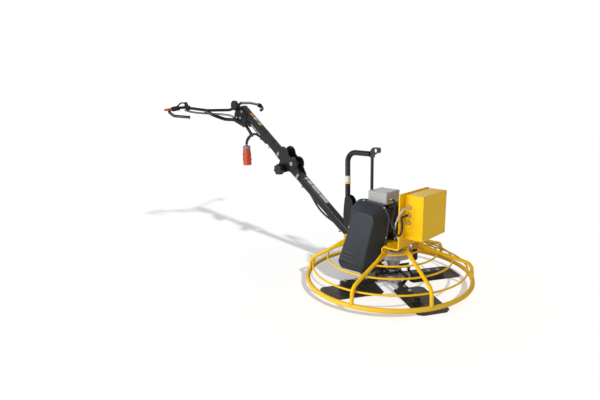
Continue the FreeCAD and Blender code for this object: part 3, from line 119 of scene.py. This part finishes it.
def surface(name, base, rough, metal=0.0, spec=0.5, coat=0.0, tone=0.10, tone_scale=9.0,
            grain=900.0, grain_h=0.00008, bump=0.25, edge=0.0012, stretch=None,
            wear=None, wear_amt=0.35, dust=0.0, dust_top=0.12,
            spots=None, spot_amt=0.0, spot_scale=40.0):
    """Procedural finish, stored under its name.

    tone: brightness variation; grain, grain_h, bump: scale, height and strength of the
    fine bumps; edge: rounding radius; stretch: scale of the grain and spots per axis;
    wear, spots: colours on the edges and in patches; dust: amount, fading out at dust_top.
    """
    material, graph = new_material(name)
    position = graph.add("TexCoord", out="Object")
    grain_position = position
    if stretch:
        grain_position = graph.add("Mapping", Vector=position, Scale=stretch)
    variation = graph.remap(graph.noise(position, scale=tone_scale, detail=6),
                            source=(0.3, 0.7), target=(1 - tone, 1 + tone * 0.6))
    colour = graph.mix(1.0, (*base, 1), variation, blend_type="MULTIPLY")
    if spots:
        patches = graph.noise(grain_position, scale=spot_scale, detail=8, Roughness=0.65)
        amount = graph.remap(patches, source=(0.5, 0.68), target=(0, spot_amt))
        colour = graph.mix(amount, colour, (*spots, 1))
    rounded = graph.add("Bevel", samples=4, Radius=edge)
    if wear:
        # the rounded normal leaves the true one only near edges
        normal = graph.add("NewGeometry", out="Normal")
        likeness = graph.add("VectorMath", rounded, normal, out="Value",
                             operation="DOT_PRODUCT")
        near_edge = graph.remap(likeness, source=(0.985, 0.86))
        patches = graph.remap(graph.noise(position, scale=60, detail=8),
                              source=(0.48, 0.62), target=(0, wear_amt))
        colour = graph.mix(graph.multiply(near_edge, patches), colour, (*wear, 1))
    if dust:
        height = graph.add("SeparateXYZ", position, out=2)
        low_down = graph.remap(height, source=(dust_top, 0.0), target=(0, dust))
        patches = graph.noise(position, scale=22, detail=8)
        dust_colour = (0.42, 0.38, 0.33, 1)
        colour = graph.mix(graph.multiply(low_down, patches), colour, dust_colour)
    fine = graph.noise(grain_position, scale=grain, detail=4)
    roughness = graph.remap(graph.noise(grain_position, scale=35, detail=6),
                            target=(max(rough - 0.10, 0.05), min(rough + 0.12, 1)))
    grain_normal = graph.add("Bump", Strength=bump, Distance=grain_h, Height=fine,
                             Normal=rounded)
    graph.finish(graph.add(
        "BsdfPrincipled", Base_Color=colour, Metallic=metal, Roughness=roughness,
        Specular_IOR_Level=spec, Coat_Weight=coat, Coat_Roughness=0.12,
        Normal=grain_normal))
    MATERIALS[name] = material


# finishes of the CAD material slots
surface("guard_yellow", base=(0.97, 0.57, 0.0008), rough=0.36, coat=0.03, spec=0.24,
        tone=0.05, grain=500, bump=0.12, wear=(0.35, 0.28, 0.18), wear_amt=0.25,
        dust=0.35, dust_top=0.10)
surface("box_yellow", base=(0.97, 0.575, 0.0008), rough=0.40, spec=0.2, tone=0.035,
        grain=420, bump=0.12, wear=(0.5, 0.4, 0.2), wear_amt=0.2, edge=0.0016)
surface("cast_grey", base=(0.50, 0.49, 0.49), rough=0.42, metal=0.5, tone=0.22, grain=650,
        bump=0.7, grain_h=0.0002, spots=(0.08, 0.07, 0.06), spot_amt=0.55, spot_scale=26)
surface("cap_black", base=(0.018, 0.018, 0.02), rough=0.42, tone=0.2, grain=1100, bump=0.3)
surface("bearing_steel", base=(0.55, 0.55, 0.55), rough=0.25, metal=0.95, stretch=(1, 1, 12))
surface("belt_rubber", base=(0.02, 0.02, 0.02), rough=0.8, tone=0.2, grain=1500, bump=0.6)
surface("motor_dark", base=(0.045, 0.036, 0.026), rough=0.5, metal=0.1, tone=0.3, grain=600,
        bump=0.6, grain_h=0.0002, wear=(0.3, 0.22, 0.12), wear_amt=0.4)
surface("motor_grey", base=(0.42, 0.42, 0.415), rough=0.42, metal=0.1, tone=0.08,
        grain=700, bump=0.35, wear=(0.6, 0.6, 0.58), wear_amt=0.3, edge=0.002)
surface("guard_plastic", base=(0.024, 0.031, 0.039), rough=0.55, tone=0.14, grain=1300,
        bump=0.6, grain_h=0.00015, wear=(0.13, 0.14, 0.15), wear_amt=0.5, edge=0.003)
surface("zinc_screw", base=(0.6, 0.6, 0.58), rough=0.3, metal=0.95, tone=0.15,
        wear=(0.3, 0.25, 0.2), wear_amt=0.4)
surface("gland_metal", base=(0.62, 0.58, 0.5), rough=0.28, metal=0.95, tone=0.12)
surface("lead_grey", base=(0.5, 0.52, 0.54), rough=0.55, tone=0.07, grain=1500, bump=0.3)
surface("cable_black", base=(0.013, 0.013, 0.014), rough=0.5, tone=0.2, grain=1200, bump=0.4)
surface("handle_black", base=(0.006, 0.0075, 0.010), rough=0.30, coat=0.08, tone=0.2,
        grain=800, bump=0.3, grain_h=0.00012, wear=(0.16, 0.16, 0.17), wear_amt=0.5,
        edge=0.0018)
surface("shaft_steel", base=(0.5, 0.5, 0.5), rough=0.28, metal=0.95, stretch=(1, 1, 10),
        grain=400)
surface("bronze", base=(0.55, 0.33, 0.12), rough=0.35, metal=0.9, tone=0.15)
surface("hub_black", base=(0.012, 0.012, 0.012), rough=0.46, metal=0.1, tone=0.35,
        grain=700, bump=0.8, grain_h=0.00025, wear=(0.16, 0.14, 0.12), wear_amt=0.4,
        dust=0.16, dust_top=0.05, spots=(0.05, 0.038, 0.028), spot_amt=0.3, spot_scale=30)
surface("pulley_iron", base=(0.16, 0.16, 0.16), rough=0.45, metal=0.8, tone=0.15)
surface("fan_plastic", base=(0.03, 0.03, 0.03), rough=0.5)
surface("grip_rubber", base=(0.012, 0.012, 0.013), rough=0.72, tone=0.2, grain=1600, bump=0.8)
surface("plug_red", base=(0.58, 0.06, 0.016), rough=0.38, tone=0.08, grain=1200,
        wear=(0.8, 0.3, 0.2))
surface("knob_plastic", base=(0.015, 0.015, 0.016), rough=0.45, tone=0.15, grain=1300,
        bump=0.45)
surface("blade_steel", base=(0.060, 0.052, 0.046), rough=0.45, metal=0.35, tone=0.4,
        tone_scale=14, grain=500, bump=0.5, stretch=(1.0, 5.0, 1.0),
        spots=(0.17, 0.13, 0.10), spot_amt=0.6, spot_scale=9, wear=(0.42, 0.39, 0.35),
        wear_amt=0.6, edge=0.001)

# finishes of the added details only
surface("tape_white", base=(0.72, 0.73, 0.72), rough=0.4, tone=0.08)
surface("tape_yellow", base=(0.9, 0.55, 0.02), rough=0.4, tone=0.08)
surface("tape_orange", base=(0.85, 0.22, 0.02), rough=0.4, tone=0.08)
surface("tape_blue", base=(0.12, 0.28, 0.5), rough=0.4, tone=0.08)
surface("collar_blue", base=(0.17, 0.24, 0.33), rough=0.4, grain=1000)
surface("tie_nylon", base=(0.02, 0.02, 0.02), rough=0.45, tone=0.15)
surface("brass_bolt", base=(0.62, 0.36, 0.12), rough=0.3, metal=0.95, tone=0.2)
surface("weld_yellow", base=(0.88, 0.48, 0.004), rough=0.38, coat=0.2, grain=300,
        bump=0.5, grain_h=0.0004)

slot_of = {part["node"]: part["material_slot"] for part in record["subparts"]}
for name, piece in frame["nodes"].items():
    piece.data.materials.clear()
    piece.data.materials.append(MATERIALS[slot_of[name]])


# ------------------------------------------------------------------ geometry helpers
class Forms:
    """One mesh made of several closed forms."""

    def __init__(self):
        self.points = []
        self.faces = []

    def ring(self, points):
        """Add points and return their indices."""
        start = len(self.points)
        self.points.extend(points)
        return list(range(start, len(self.points)))

    def skin(self, rings, loop=False, caps=False):
        """Join each ring to the next; a ring of one point closes to a fan."""
        for low, high in zip(rings, rings[1:] + (rings[:1] if loop else [])):
            count = max(len(low), len(high))
            for k in range(count):
                k2 = (k + 1) % count
                if len(low) == 1:
                    self.faces.append((low[0], high[k2], high[k]))
                elif len(high) == 1:
                    self.faces.append((low[k], low[k2], high[0]))
                else:
                    self.faces.append((low[k], low[k2], high[k2], high[k]))
        if caps:
            self.faces += [tuple(reversed(rings[0])), tuple(rings[-1])]

    def lathe(self, profile, centre, axis, segs=32):
        """Turn (radius, height) points; a profile that starts off the axis is a hoop."""
        axis = Vector(axis).normalized()
        side = axis.orthogonal().normalized()
        other = axis.cross(side)
        turns = [2 * math.pi * k / segs for k in range(segs)]
        rings = []
        for radius, height in profile:
            middle = Vector(centre) + axis * height
            rings.append(self.ring(
                [middle + (side * math.cos(turn) + other * math.sin(turn)) * radius
                 for turn in turns] if radius else [middle]))
        self.skin(rings, loop=profile[0][0] > 0)

    def hex_bolt(self, centre, axis, radius, height, washer=True):
        """Hexagon head on an optional washer, with the round shank end on top."""
        if washer:
            rim, thick = radius * 1.45, height * 0.22
            self.lathe([(0, 0), (rim, 0), (rim, thick), (0, thick)], centre, axis, 28)
            centre = Vector(centre) + Vector(axis).normalized() * thick
        self.lathe([(0, 0), (radius, 0), (radius, height * 0.8), (radius * 0.88, height),
                    (0, height)], centre, axis, 6)
        self.lathe([(0, 0), (radius * 0.55, height), (radius * 0.5, height * 1.22),
                    (0, height * 1.24)], centre, axis, 20)

    def slab(self, origin, axes, x_span, y_span, z_span):
        """Box between spans measured along three axes."""
        (x0, x1), (y0, y1) = x_span, y_span
        x_axis, y_axis, z_axis = (Vector(axis) for axis in axes)
        start = len(self.points)
        for z in z_span:
            for x, y in ((x0, y0), (x1, y0), (x1, y1), (x0, y1)):
                self.points.append(Vector(origin) + x_axis * x + y_axis * y + z_axis * z)
        for quad in ((3, 2, 1, 0), (4, 5, 6, 7), (0, 1, 5, 4),
                     (1, 2, 6, 5), (2, 3, 7, 6), (3, 0, 4, 7)):
            self.faces.append(tuple(start + k for k in quad))

    def tube(self, points, radius, segs=14, sub=8):
        """Round tube on a Catmull-Rom curve, with sub steps between points."""
        ends = [points[0] * 2 - points[1]] + points + [points[-1] * 2 - points[-2]]
        line = []
        for before, start, end, after in zip(ends, ends[1:], ends[2:], ends[3:]):
            for k in range(sub):
                t = k / sub
                line.append(0.5 * (
                    (2 * start) + (end - before) * t
                    + (2 * before - 5 * start + 4 * end - after) * t * t
                    + (3 * start - before - 3 * end + after) * t ** 3))
        line.append(points[-1])
        side = (line[1] - line[0]).normalized().orthogonal().normalized()
        rings = []
        for i, centre in enumerate(line):
            ahead = (line[min(i + 1, len(line) - 1)] - line[max(i - 1, 0)]).normalized()
            side = (side - ahead * side.dot(ahead)).normalized()
            other = ahead.cross(side)
            turns = [2 * math.pi * k / segs for k in range(segs)]
            rings.append(self.ring(
                [centre + (side * math.cos(turn) + other * math.sin(turn)) * radius
                 for turn in turns]))
        self.skin(rings, caps=True)

    def build(self, name, body, slot, material=None, bevel=0.0):
        """Make the object. Its material is the slot's unless one is named."""
        mesh = bpy.data.meshes.new(name)
        mesh.from_pydata([tuple(spot) for spot in self.points], [], self.faces)
        work = bmesh.new()
        work.from_mesh(mesh)
        bmesh.ops.recalc_face_normals(work, faces=work.faces)
        work.to_mesh(mesh)
        work.free()
        ob = bpy.data.objects.new(name, mesh)
        scene.collection.objects.link(ob)
        mesh.materials.append(MATERIALS[material or slot])
        for face in mesh.polygons:
            face.use_smooth = True
        mesh.set_sharp_from_angle(angle=math.radians(35))
        if bevel:
            modifier = ob.modifiers.new("bevel", "BEVEL")
            modifier.width = bevel
            modifier.segments = 2
            modifier.limit_method = "ANGLE"
            modifier.angle_limit = math.radians(40)
        if body:
            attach(ob, body)
        return ob


def point(x, y, z):
    return Vector((x / 1000, y / 1000, z / 1000))


def path(rows):
    return [point(*row) for row in rows]


# Column frame: up the column, square to its upper face, and across it.
UP = Vector((0, 0, 1))
ALONG = Vector((-0.7988, 0, 0.6016))
NORMAL = Vector((ALONG.z, 0, -ALONG.x))
ACROSS = Vector((0, 1, 0))
# the fold hinge lies 597 mm along the column and 38 mm out from its centreline
COLUMN_FOOT = Vector(joints["handle_fold"]["pos_m"]) - ALONG * 0.597 - NORMAL * 0.038
COLUMN_HALF = 25   # half the column's square section, mm


def column(along, out, across=0.0):
    """Point in the column frame."""
    return COLUMN_FOOT + ALONG * (along / 1000) + NORMAL * (out / 1000) + ACROSS * (across / 1000)


# ------------------------------------------------------------------ column details
def tie(forms, along, under):
    """Nylon tie: a rounded loop round the column and the cable below it, and its lock."""
    half_width, inner, outer, corner = 2.5, 0.25, 1.5, 7.0
    top, bottom, side = COLUMN_HALF - corner, under + corner, COLUMN_HALF - corner
    loop = []
    for out, across, start in ((top, side, 0), (bottom, side, 90),
                               (bottom, -side, 180), (top, -side, 270)):
        for k in range(5):
            turn = math.radians(start + 22.5 * k)
            cos, sin = math.cos(turn), math.sin(turn)
            loop.append((out + corner * cos, across + corner * sin, cos, sin))
    forms.skin([forms.ring([column(along + shift, out + cos * grow, across + sin * grow)
                            for out, across, cos, sin in loop])
                for shift, grow in ((-half_width, inner), (half_width, inner),
                                    (half_width, outer), (-half_width, outer))], loop=True)
    forms.slab(column(along, COLUMN_HALF + 1.6, 12 - COLUMN_HALF), (ALONG, ACROSS, NORMAL),
               (-0.0035, 0.0035), (-0.004, 0.004), (-0.0005, 0.0035))


# (place along the column, lowest reach of the loop), mm
for name, body, places in (("ties_lower", "chassis", ((440, -42), (20, -42))),
                           ("ties_upper", "handle", ((855, -43), (960, -52)))):
    ties = Forms()
    for along, under in places:
        tie(ties, along, under)
    ties.build(name, body, "cable_black", "tie_nylon")


def column_tape(name, body, material, half_width, spans):
    """Tape pieces on the column's upper face; spans along it in mm."""
    tape = Forms()
    for start, end in spans:
        tape.slab(column(0, COLUMN_HALF + 0.05), (ALONG, ACROSS, NORMAL),
                  (start / 1000, end / 1000), (-half_width, half_width), (0, 0.0005))
    tape.build("column_tape_" + name, body, "handle_black", material, bevel=0.0002)


column_tape("pale", "chassis", "tape_white", 0.0145, ((218, 300), (306, 388), (394, 466)))
for name, start, end in (("orange", 1128, 1172), ("white", 1092, 1122),
                         ("blue", 1064, 1088), ("yellow", 1030, 1058)):
    column_tape(name, "handle", "tape_" + name, 0.014, ((start, end),))

# sleeve that carries the cable across the fold, 1 mm lower in its middle
CABLE_OUT = -36
sleeve = Forms()
sleeve.tube([column(along, CABLE_OUT - (1 if 530 <= along <= 690 else 0))
             for along in (500, 520, 560, 600, 640, 680, 700, 720)], 0.0076, segs=20, sub=10)
ob = sleeve.build("fold_cable_sleeve", None, "cable_black")
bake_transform(ob)


def side_bolts(name, body, centres, half_width, height):
    """Hex heads on both Y sides of a bracket."""
    bolts = Forms()
    for centre in centres:
        for side in (-1, 1):
            bolts.hex_bolt(centre + ACROSS * side * half_width, ACROSS * side, 0.0075, height)
    bolts.build(name, body, "zinc_screw", bevel=0.0004)


side_bolts("fold_bolts_lower", "chassis", (column(512, 8), column(512, -12)),
           half_width=0.0314, height=0.005)
side_bolts("fold_bolts_upper", "handle", (column(742, 8), column(742, -10)),
           half_width=0.0378, height=0.005)

# ------------------------------------------------------------------ bale bands
BALE_X = -0.325
BAND_INNER, BAND_OUTER = 0.0166, 0.0174
for name, bottom, top, material in (("white", 0.5782, 0.6138, "tape_white"),
                                    ("yellow", 0.5670, 0.5780, "tape_yellow"),
                                    ("cap", 0.6140, 0.6180, "tape_yellow")):
    height = top - bottom
    band = Forms()
    band.lathe([(BAND_INNER, 0), (BAND_OUTER, 0), (BAND_OUTER, height), (BAND_INNER, height)],
               (BALE_X, 0, bottom), UP, 36)
    band.build("bale_band_" + name, "chassis", "handle_black", material)

# ------------------------------------------------------------------ handlebar details
# straight runs of the bar: start, end (mm), then the ribbed share of the run
GRIPS = (((-1593, -350, 1033), (-1652, -446, 1012), 0.22, 0.69),
         ((-1650, 436, 1030), (-1606, 350, 1054), 0.45, 0.84))
RIBS = 9
ribs = Forms()
for start, end, first, last in GRIPS:
    start, end = point(*start), point(*end)
    for k in range(RIBS):
        share = first + (last - first) * (k + 0.5) / RIBS
        ribs.lathe([(0.0163, -0.0014), (0.0175, -0.0009), (0.0175, 0.0009), (0.0163, 0.0014)],
                   start.lerp(end, share), end - start, 36)
ribs.build("grip_ribs", "handle", "grip_rubber")

# bar end, then the bar's previous point, mm
BAR_ENDS = (((-1569, 350, 1008), (-1622, 412, 1012)),
            ((-1520, -350, 963), (-1606, -420, 972)))
plugs = Forms()
for end, previous in BAR_ENDS:
    plugs.lathe([(0, -0.001), (0.0125, -0.001), (0.0131, 0.001), (0.0125, 0.003),
                 (0.008, 0.0048), (0, 0.0055)], point(*end), point(*end) - point(*previous))
plugs.build("bar_end_plugs", "handle", "knob_plastic")

lever_tip = point(-1618, -481, 1013)
lever_axis = (lever_tip - point(-1592, -412, 1026)).normalized()
cap = Forms()
cap.lathe([(0.0051, 0), (0.0075, 0.001), (0.0082, 0.006), (0.0082, 0.030), (0.0078, 0.040),
           (0.005, 0.0455), (0, 0.047)], lever_tip - lever_axis * 0.044, lever_axis)
cap.build("lever_tip_red", "dead_man", "plug_red")

side_bolts("head_bolts", "handle",
           path([(-1330, 0, 1000), (-1352, 0, 955), (-1395, 0, 955)]),
           half_width=0.0314, height=0.0052)

# twin cables from the lever: bar stretch (x, y, z), then column stretch (along, out, across)
CONTROL_CABLES = (
    ([(-1592, -338, 1016), (-1560, -285, 1000), (-1520, -200, 990), (-1478, -112, 985),
      (-1430, -58, 975), (-1390, -46, 952), (-1345, -40, 918)],
     [(1130, -46, -12), (1060, -40, -12), (980, -38, -14)]),
    ([(-1592, -342, 1009), (-1558, -290, 993), (-1516, -203, 983), (-1472, -116, 977),
      (-1424, -62, 966), (-1384, -50, 942), (-1340, -44, 908)],
     [(1124, -53, -4), (1060, -48, -4), (980, -45, -14)]))
cables = Forms()
for bar_part, column_part in CONTROL_CABLES:
    cables.tube(path(bar_part) + [column(*row) for row in column_part], 0.0032, segs=10)
cables.build("control_cables", "handle", "cable_black")

# three cables that meet in a round boot: radius (m), then points (mm)
JUNCTION = (-1264, 0, 832)
BRANCHES = (
    (0.0112, [(-1338, 0, 918), (-1326, 0, 898), (-1292, 0, 863), JUNCTION]),
    (0.0096, [JUNCTION, (-1279, 0, 822), (-1297, 0, 806), (-1321, 0, 782), (-1331, 0, 757)]),
    (0.0084, [JUNCTION, (-1224, 0, 838), (-1173, 0, 824), (-1136, 0, 803), (-1098, 0, 777)]))
junction = Forms()
for radius, rows in BRANCHES:
    junction.tube(path(rows), radius, segs=20)
junction.lathe([(0, -0.016), (0.0105, -0.014), (0.0128, -0.005), (0.0128, 0.005),
                (0.0105, 0.014), (0, 0.016)], point(*JUNCTION), (-0.7, 0, 0.7), 24)
junction.build("cable_junction", "handle", "cable_black")

# ------------------------------------------------------------------ plug
plug_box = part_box("mains_plug")
plug = (plug_box[0] + plug_box[1]) / 2
collar = Forms()
collar.lathe([(0.0255, 0), (0.0285, 0.001), (0.0285, 0.020), (0.0255, 0.021)],
             (plug.x, plug.y, 0.7225), UP, 44)
collar.build("plug_collar", "handle", "plug_red", "collar_blue")

PLUG_RIBS, PLUG_RADIUS = 16, 0.0295
ribs = Forms()
for k in range(PLUG_RIBS):
    turn = 2 * math.pi * k / PLUG_RIBS
    cos, sin = math.cos(turn), math.sin(turn)
    ribs.slab((plug.x + PLUG_RADIUS * cos, plug.y + PLUG_RADIUS * sin, 0.655),
              ((cos, sin, 0), (-sin, cos, 0), UP), (0, 0.0018), (-0.0018, 0.0018), (0, 0.036))
ribs.build("plug_ribs", "handle", "plug_red", bevel=0.0006)

# ------------------------------------------------------------------ terminal box and cables
lid_low, lid_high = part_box("terminal_box")
SCREW_INSET = 0.014
screws = Forms()
for x in (lid_low.x + SCREW_INSET, lid_high.x - SCREW_INSET):
    for y in (lid_low.y + SCREW_INSET, lid_high.y - SCREW_INSET):
        screws.lathe([(0, 0), (0.0048, 0), (0.0048, 0.0018), (0.003, 0.0030), (0, 0.0031)],
                     (x, y, lid_high.z), UP, 24)
screws.build("terminal_lid_screws", "chassis", "zinc_screw")

gland = Forms()
gland.lathe([(0, 0), (0.0125, 0), (0.0125, 0.008), (0.0105, 0.009), (0.0100, 0.016),
             (0.0068, 0.018), (0, 0.018)], (0.0362, -0.060, 0.5245), (1, 0, 0), 6)
gland.build("terminal_gland", "chassis", "gland_metal", bevel=0.0005)

hose = Forms()
hose.tube(path([(-218, -60, 454), (-195, -60, 479), (-172, -60, 492), (-135, -60, 498),
                (-98, -60, 496)]), 0.0075, segs=18)
hose.build("motor_hose", "chassis", "cable_black")

# thin cable under the column, waving by 2 mm between stations (mm along the column)
for name, body, stations in (("lower", "chassis", (30, 110, 190, 270, 350, 430, 490)),
                             ("upper", "handle", (740, 800, 860, 920, 980))):
    cable = Forms()
    cable.tube([column(along, -32 if k % 2 else -30, -14)
                for k, along in enumerate(stations)], 0.0034, segs=10)
    cable.build("thin_cable_" + name, body, "cable_black")

# ------------------------------------------------------------------ gland pad
# domed, rounded oblong behind the cable glands, on the control box's -Y wall
glands_low, glands_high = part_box("cable_glands")
pad_x = (glands_low.x + glands_high.x) / 2 + 0.004
wall_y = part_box("control_box")[0].y
PAD_HALF_X, PAD_HALF_Z, PAD_Z, PAD_SEGS = 0.024, 0.072, 0.466, 28
pad = Forms()
rings = []
for offset, grow in ((0.0004, 0.004), (-0.0022, 0.0015), (-0.0030, -0.002)):
    outline = []
    for k in range(PAD_SEGS):
        turn = 2 * math.pi * k / PAD_SEGS
        cos, sin = math.cos(turn), math.sin(turn)
        outline.append(Vector((
            pad_x + (PAD_HALF_X + grow) * math.copysign(abs(cos) ** 0.8, cos),
            wall_y + offset,
            PAD_Z + (PAD_HALF_Z + grow) * math.copysign(abs(sin) ** 0.55, sin))))
    rings.append(pad.ring(outline))
pad.skin(rings, caps=True)
pad.build("gland_pad", "chassis", "box_yellow")

# ------------------------------------------------------------------ belt guard louvres
# wedges whose lip stands 2.6 mm out towards -Y and fades upwards
cover_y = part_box("belt_guard_cover")[0].y
WEDGE = ((0.0012, 0.0), (-0.0026, -0.0005), (-0.0026, 0.0022), (0.0012, 0.0125))   # y, z
SLOPE = -0.10   # rise towards +X
louvres = Forms()
for z, x0, x1 in ((0.209, -0.186, -0.112), (0.185, -0.192, -0.104), (0.161, -0.198, -0.098)):
    near, far = (louvres.ring([Vector((x, cover_y + out, z + up + SLOPE * (x - x0)))
                               for out, up in WEDGE]) for x in (x0, x1))
    louvres.faces += [tuple(near), tuple(reversed(far))]
    for k in range(4):
        k2 = (k + 1) % 4
        louvres.faces.append((near[k], far[k], far[k2], near[k2]))
louvres.build("guard_louvres", "chassis", "guard_plastic", bevel=0.0006)

# ------------------------------------------------------------------ cage leg welds
# beads where the legs meet the guard ring's round tube, mm
RING_RADIUS, RING_Z, RING_TUBE = 490, 45, 13.2
BEAD_RADIUS, BEAD_LIFT = 11.3, 0.3
feet = [(97.0, -480.3), (426.0, -241.5), (-415.5, -259.7)]
feet += [(x, -y) for x, y in feet]
welds = Forms()
for foot_x, foot_y in feet:
    bead = []
    for k in range(33):
        turn = 2 * math.pi * k / 32
        x, y = foot_x + BEAD_RADIUS * math.cos(turn), foot_y + BEAD_RADIUS * math.sin(turn)
        off_centre = math.hypot(x, y) - RING_RADIUS
        bead.append(point(x, y, RING_Z + math.sqrt(RING_TUBE ** 2 - off_centre ** 2) + BEAD_LIFT))
    welds.tube(bead, 0.0022, segs=8, sub=2)
welds.build("foot_welds", "chassis", "guard_yellow", "weld_yellow")

# ------------------------------------------------------------------ rotor hardware
rotor_x = joints["rotor_spin"]["pos_m"][0]
rotor = Vector((rotor_x, 0, 0))
ARM_ANGLES = [-33 + 90 * i for i in range(4)]
for number, angle in enumerate(ARM_ANGLES, 1):
    arm = "arm_%d" % number
    turn = math.radians(angle)
    outward = Vector((math.cos(turn), math.sin(turn), 0))
    sideways = Vector((-math.sin(turn), math.cos(turn), 0))
    bolts = Forms()
    for radius in (0.172, 0.236, 0.300):
        bolts.hex_bolt(rotor + outward * radius + UP * 0.0451, UP, 0.0085, 0.0065)
    bolts.build("arm_bolts_%d" % number, arm, "zinc_screw", bevel=0.0004)
    rivets = Forms()
    for radius in (0.140, 0.310):
        for side in (-0.030, 0.030):
            rivets.lathe([(0, 0), (0.0055, 0), (0.0050, 0.0018), (0.003, 0.0030), (0, 0.0033)],
                         rotor + outward * radius + sideways * side + UP * 0.0071, UP, 20)
    rivets.build("blade_rivets_%d" % number, arm, "blade_steel")

HUB_BOLT_CIRCLE = 0.031
bolts = Forms()
for angle in ARM_ANGLES:
    turn = math.radians(angle + 45)
    bolts.hex_bolt((rotor_x + HUB_BOLT_CIRCLE * math.cos(turn),
                    HUB_BOLT_CIRCLE * math.sin(turn), 0.0602), UP, 0.0045, 0.0024, washer=False)
bolts.build("hub_bolts", "rotor", "bronze", "brass_bolt", bevel=0.0003)

# ------------------------------------------------------------------ floor and world
grid = bmesh.new()
bmesh.ops.create_grid(grid, x_segments=2, y_segments=2, size=30)
floor_mesh = bpy.data.meshes.new("floor")
grid.to_mesh(floor_mesh)
grid.free()
floor = bpy.data.objects.new("floor", floor_mesh)
floor.location.z = -0.0006
scene.collection.objects.link(floor)

# pale diffuse floor that also glows, for the camera only
floor_material, graph = new_material("floor_pale")
grey = graph.remap(graph.add("TexNoise", Scale=3), target=(0.76, 0.80))
diffuse = graph.add("BsdfDiffuse", graph.add("CombineColor", grey, grey, grey))
glow = graph.multiply(graph.add("LightPath", out="Is Camera Ray"), 0.335)
graph.finish(graph.add("AddShader", diffuse, graph.add("Emission", Strength=glow)))
floor_mesh.materials.append(floor_material)

# white world, brighter to the camera than to the objects
world = bpy.data.worlds.new("studio")
scene.world = world
graph = Graph(world)
background = graph.tree.nodes["Background"]
strength = graph.remap(graph.add("LightPath", out="Is Camera Ray"), target=(0.36, 1.05))
graph.feed(background.inputs["Strength"], strength)
graph.feed(background.inputs["Color"], (1, 1, 1, 1))


# ------------------------------------------------------------------ lights and camera
def place(name, data, position, target):
    """Add a light or camera that looks from position to target."""
    ob = bpy.data.objects.new(name, data)
    ob.location = position
    ob.rotation_mode = "QUATERNION"
    ob.rotation_quaternion = (Vector(target) - Vector(position)).to_track_quat("-Z", "Y")
    scene.collection.objects.link(ob)
    return ob


def link_light(light, only_floor):
    """Light only the floor, or everything except the floor."""
    receivers = bpy.data.collections.new(light.name + "_receivers")
    receivers.objects.link(floor)
    light.light_linking.receiver_collection = receivers
    if not only_floor:
        receivers.collection_objects[0].light_linking.link_state = "EXCLUDE"


sun = bpy.data.lights.new("shadow", "SUN")
sun.energy = 2.5
sun.angle = math.radians(3.2)
link_light(place("shadow", sun, Vector((1.17, -0.33, 1.0)) * 5, (0, 0, 0)), only_floor=True)

# name, position, target, width, height, watts
SOFTBOXES = (("front", (-0.7, -3.1, 1.25), (-0.4, 0, 0.45), 2.6, 1.3, 88),
             ("top", (-0.5, -0.5, 3.6), (-0.4, 0, 0.4), 1.8, 1.2, 4),
             ("edge", (2.4, 0.9, 1.5), (-0.1, 0, 0.4), 0.5, 1.4, 5),
             ("rim", (-2.0, 2.6, 2.0), (-0.5, 0, 0.6), 1.6, 1.6, 13))
for name, position, target, width, height, watts in SOFTBOXES:
    area = bpy.data.lights.new(name, "AREA")
    area.shape = "RECTANGLE"
    area.size = width
    area.size_y = height
    area.energy = watts
    link_light(place(name, area, position, target), only_floor=False)

camera = bpy.data.cameras.new("camera")
heading, dip = math.radians(39.8), math.radians(12.6)   # from +Y towards -X; below level
forward = Vector((-math.sin(heading) * math.cos(dip), math.cos(heading) * math.cos(dip),
                  -math.sin(dip)))
eye = Vector((1.3881, -2.0710, 1.0462))
camera.sensor_width = 36
camera.lens = 26.004
camera.shift_x = -0.0771667
camera.shift_y = 0.00383333
camera.clip_start = 0.05
camera.clip_end = 200
scene.camera = place("camera", camera, eye, eye + forward)
scene.view_settings.view_transform = "Standard"
